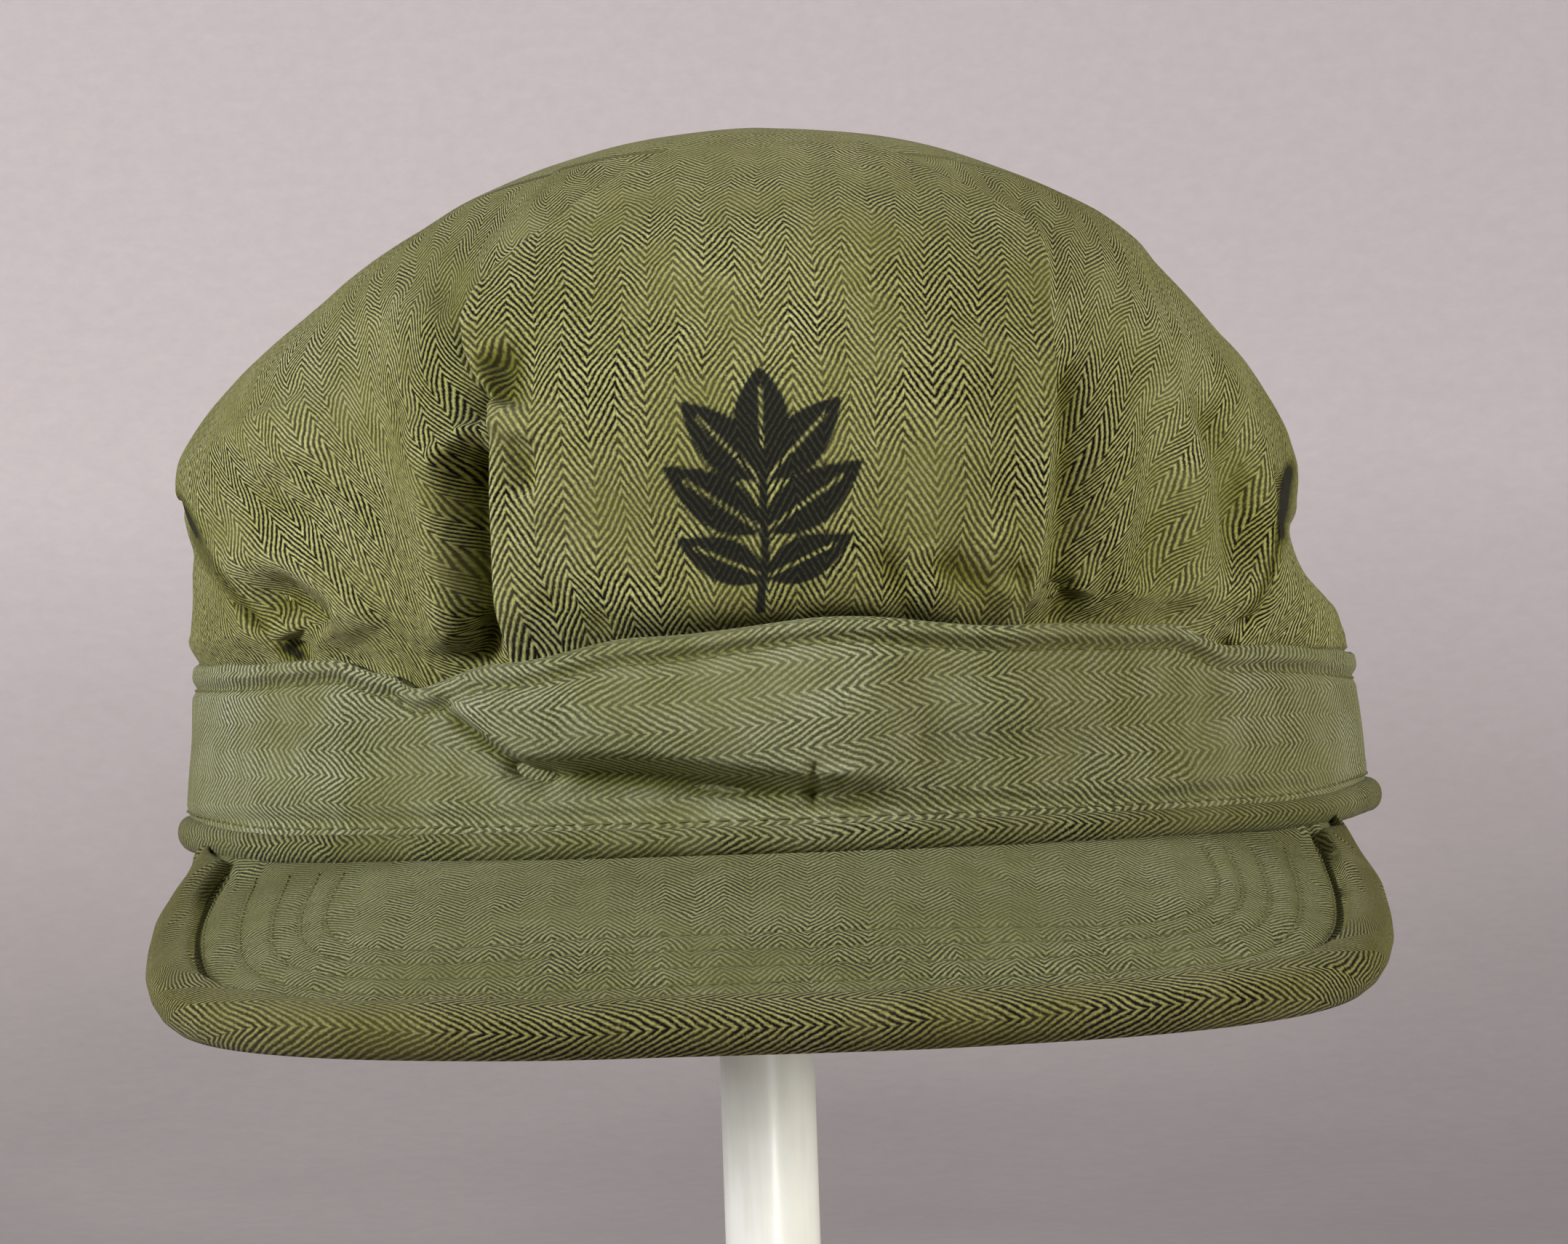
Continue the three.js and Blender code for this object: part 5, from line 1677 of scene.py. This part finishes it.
        cloth = HerringboneCloth(
            "binding_twill", (166, 162, 94), (12, 10, 2), Weave.LEVEL, column=5.2, contrast=0.95
        )
        mesh = sheet.mesh("peak_binding_cloth")
        return dress("peak_binding_cloth", mesh, cloth.made(), ("peak_binding",))

    def row(self, name: str, inset: float) -> bpy.types.Object:
        """Sews one row of stitches along the peak.

        Args:
            name: the row's name.
            inset: how far in from the peak's edge it runs.

        Returns:
            The row.
        """
        share = np.linspace(-1, 1, 600)
        _, reach = self.away(share)
        share = share[reach > inset + 4.5]
        _, reach = self.away(share)
        out = 1 - inset / reach
        up = self.up(share, out)
        return stitch_row(name, self.board(share, out) + up * 0.1, up, "peak")

    def build(self) -> list[bpy.types.Object]:
        """Makes the peak's pieces."""
        rows = [self.row(f"peak_stitches_{k + 1}", inset) for k, inset in enumerate(self.rows_of_stitches)]
        return [self.board_piece(), self.binding_piece(), *rows]


# The stand
@dataclass
class Stand:
    """The plain stand: a round foot, a post and a domed rest."""

    height: float = 300.0
    base_radius: float = 75.0
    base_thick: float = 9.0
    post_radius: float = 6.65
    rest_radius: float = 33.0
    dome: float = 46.0
    rest_thick: float = 4.0
    socket_wall: float = 4.5
    socket_depth: float = 14.0
    clearance: float = 0.3
    columns: int = 96

    def turned(
        self, name: str, profile: list[tuple[float, float]], nodes: tuple[str, ...]
    ) -> bpy.types.Object:
        """Turns a piece from its profile.

        Args:
            name: the piece's name.
            profile: radius and height, from the axis up the outside and back to the axis.
            nodes: the solids that it stands for.

        Returns:
            The piece.
        """
        line = np.array(profile)
        turn = np.linspace(0, 2 * math.pi, self.columns, endpoint=False)
        rings = line[1:-1]
        x = rings[:, 0, None] * np.cos(turn)
        y = rings[:, 0, None] * np.sin(turn)
        z = np.broadcast_to(rings[:, 1, None], x.shape)
        sheet = Sheet()
        numbers = sheet.add_points(np.stack([x, y, z], -1) - CAP_PLACE, np.zeros(3))
        ends = np.array([[0, 0, line[0, 1]], [0, 0, line[-1, 1]]]) - CAP_PLACE
        tips = sheet.add_points(ends, np.zeros(3))
        sheet.add_grid(numbers, around=True)
        sheet.add_tip(numbers[0], int(tips[0]), inside=True)
        sheet.add_tip(numbers[-1], int(tips[1]))
        mesh = sheet.mesh(name)
        piece = dress(name, mesh, MilkyPlastic(f"plastic_of_{name}").made(), nodes)
        mesh.set_sharp_from_angle(angle=math.radians(38))
        return piece

    @staticmethod
    def eased_corner(
        before: tuple[float, float], corner: tuple[float, float], after: tuple[float, float], radius: float
    ) -> list[tuple[float, float]]:
        """Rounds one corner of a profile.

        Args:
            before: the profile's point before the corner.
            corner: the corner.
            after: the point after it.
            radius: how much of each side is taken into the curve.

        Returns:
            The points of the rounded corner.
        """
        c = np.array(corner, float)
        start = c + unit(np.array(before) - c) * radius
        end = c + unit(np.array(after) - c) * radius
        steps = np.linspace(0, 1, 7)[:, None]
        curve = (1 - steps) ** 2 * start + 2 * steps * (1 - steps) * c + steps**2 * end
        return [tuple(point) for point in curve]

    def rounded(self, corners: list[tuple[float, float, float]]) -> list[tuple[float, float]]:
        """A profile with its corners rounded.

        Args:
            corners: radius and height of each corner, and how far it is rounded.

        Returns:
            Pairs of radius and height.
        """
        made = [corners[0][:2]]
        for before, here, after in zip(corners, corners[1:], corners[2:]):
            if here[2] > 0:
                made += self.eased_corner(before[:2], here[:2], after[:2], here[2])
            else:
                made.append(here[:2])
        return [*made, corners[-1][:2]]

    def build(self) -> list[bpy.types.Object]:
        """Makes the stand.

        Returns:
            The pieces.
        """
        bore = self.post_radius + self.clearance
        wall = bore + self.socket_wall
        top = self.base_thick + self.socket_depth
        foot = self.rounded([
            (0, 0, 0), (self.base_radius, 0, 1.0), (self.base_radius, self.base_thick, 2.8),
            (wall, self.base_thick, 2.2), (wall, top, 1.0), (bore, top, 0.4), (bore, self.base_thick, 0),
            (0, self.base_thick, 0),
        ])
        low = self.base_thick + self.clearance
        high = self.height - self.rest_thick - self.clearance
        post = self.rounded([
            (0, low, 0), (self.post_radius, low, 0.6), (self.post_radius, high, 0.6), (0, high, 0),
        ])
        under = self.height - self.rest_thick
        edge_turn = math.asin(self.rest_radius / self.dome)
        edge_height = self.height - self.dome * (1 - math.cos(edge_turn))
        dome = [
            (self.dome * math.sin(turn), self.height - self.dome * (1 - math.cos(turn)))
            for turn in np.linspace(edge_turn, 0, 22)
        ]
        rest = self.rounded([
            (0, under, 0), (bore, under, 0), (bore, under - self.socket_depth, 0.4),
            (wall, under - self.socket_depth, 1.0), (wall, under - 1, 1.5),
            (self.rest_radius - 2, edge_height - self.rest_thick, 1.4), (self.rest_radius, edge_height, 0),
        ]) + dome[1:]
        return [
            self.turned("stand_foot", foot, ("stand_base",)),
            self.turned("stand_rod", post, ("stand_post",)),
            self.turned("stand_dome", rest, ("stand_rest",)),
        ]


# The studio
Place = tuple[float, float, float]


@dataclass
class Studio:
    """A pale sweep, soft lights and the camera, in metres."""

    camera_place: Place = (0.0044, -1.3, 0.2329)
    camera_roll: float = 1.9
    lens: float = 212.73
    sweep_floor: float = 2.1  # radius of the flat floor
    sweep_curve: float = 1.7  # radius of the curve from the floor to the wall
    sweep_height: float = 3.2
    sweep_columns: int = 96
    spot_watts: float = 25.5
    spot_angle: float = 8.0
    spot_place: Place = (0.25, -1.2, 0.02)
    spot_aim: Place = (0.0, 0.0, 0.095)
    sky_colour: tuple[float, float, float, float] = (0.95, 0.94, 0.95, 1.0)
    sky_strength: float = 0.07
    # name, place, what it looks at, size, watts, colour
    lights: tuple[tuple[str, Place, Place, float, float, Place], ...] = (
        ("left", (-1.2, -0.75, 0.8), (0.0, -0.03, 0.23), 0.4, 17.5, (0.98, 1.0, 1.03)),
        ("right", (1.25, -0.7, 0.72), (0.0, -0.03, 0.23), 0.4, 13.0, (1.0, 0.985, 0.9)),
        ("key", (-0.25, -0.9, 1.3), (0.0, -0.03, 0.23), 0.3, 0.8, (1.0, 0.985, 0.95)),
        ("wall wash", (-0.6, 1.3, 2.0), (-0.5, 3.4, 0.35), 0.8, 34.0, (1.0, 0.99, 0.99)),
    )

    def sweep(self) -> None:
        """Makes the round floor that curves up into a wall on every side."""
        rise = np.linspace(0, math.pi / 2, 24)
        curve = self.sweep_curve
        rings = [(r, 0.0) for r in np.linspace(0.05, self.sweep_floor, 12)]
        rings += [(self.sweep_floor + curve * math.sin(a), curve * (1 - math.cos(a))) for a in rise[1:]]
        rings += [(self.sweep_floor + curve, self.sweep_height)]
        turn = np.linspace(0, 2 * math.pi, self.sweep_columns, endpoint=False)
        points = [(0.0, 0.0, 0.0)] + [(r * math.sin(a), r * math.cos(a), z) for r, z in rings for a in turn]
        n = self.sweep_columns
        faces = [(0, 1 + (c + 1) % n, 1 + c) for c in range(n)]
        faces += [
            (1 + r * n + c, 1 + r * n + (c + 1) % n, 1 + (r + 1) * n + (c + 1) % n, 1 + (r + 1) * n + c)
            for r in range(len(rings) - 1)
            for c in range(n)
        ]
        mesh = bpy.data.meshes.new("pale_sweep")
        mesh.from_pydata(points, [], faces)
        mesh.polygons.foreach_set("use_smooth", np.ones(len(faces), dtype=bool))
        mesh.materials.append(PaleBackdrop().made())
        sweep = bpy.data.objects.new("pale_sweep", mesh)
        bpy.context.scene.collection.objects.link(sweep)

    def light(self, name: str, place: Place, aim: Place, size: float, watts: float, colour: Place) -> None:
        """Adds one soft light.

        Args:
            name: its name.
            place: where it is.
            aim: what it looks at.
            size: its width.
            watts: its power.
            colour: its colour.
        """
        lamp = bpy.data.lights.new(name, "AREA")
        lamp.shape = "DISK"
        lamp.size = size
        lamp.energy = watts
        lamp.color = colour
        self.aim(name, lamp, place, aim)

    @staticmethod
    def aim(name: str, lamp: bpy.types.Light, place: Place, aim: Place) -> None:
        """Puts a lamp in its place and turns it to what it looks at.

        Args:
            name: its name.
            lamp: the lamp.
            place: where it is.
            aim: what it looks at.
        """
        holder = bpy.data.objects.new(name, lamp)
        holder.location = place
        way = np.array(place) - np.array(aim)
        flat = math.hypot(way[0], way[1])
        holder.rotation_euler = (math.atan2(flat, way[2]), 0.0, math.atan2(way[0], -way[1]))
        bpy.context.scene.collection.objects.link(holder)

    def build(self) -> None:
        """Makes the floor, the lights, the sky and the camera."""
        scene = bpy.context.scene
        self.sweep()
        for one in self.lights:
            self.light(*one)
        spot = bpy.data.lights.new("post spot", "SPOT")
        spot.energy = self.spot_watts
        spot.spot_size = math.radians(self.spot_angle)
        spot.spot_blend = 0.5
        spot.shadow_soft_size = 0.03
        self.aim("post spot", spot, self.spot_place, self.spot_aim)
        world = bpy.data.worlds.new("studio")
        world.use_nodes = True
        sky = world.node_tree.nodes["Background"]
        sky.inputs[0].default_value = self.sky_colour
        sky.inputs[1].default_value = self.sky_strength
        scene.world = world
        scene.view_settings.view_transform = "Standard"
        eye = bpy.data.cameras.new("camera")
        eye.lens = self.lens
        eye.sensor_width = 36.0
        eye.sensor_fit = "HORIZONTAL"
        eye.clip_start = 0.05
        holder = bpy.data.objects.new("camera", eye)
        holder.location = self.camera_place
        holder.rotation_euler = (math.radians(90), math.radians(self.camera_roll), 0)
        scene.collection.objects.link(holder)
        scene.camera = holder


def main() -> None:
    """Builds the studio and every piece, and reports each piece."""
    logging.basicConfig(level=logging.INFO, format="%(name)s: %(message)s")
    Studio().build()
    pieces: list[bpy.types.Object] = []
    for maker in (Crown(), FrontPanel(), Band(), Peak(), Stand()):
        pieces += maker.build()
    log.info("%d pieces", len(pieces))


if __name__ == "__main__":
    main()
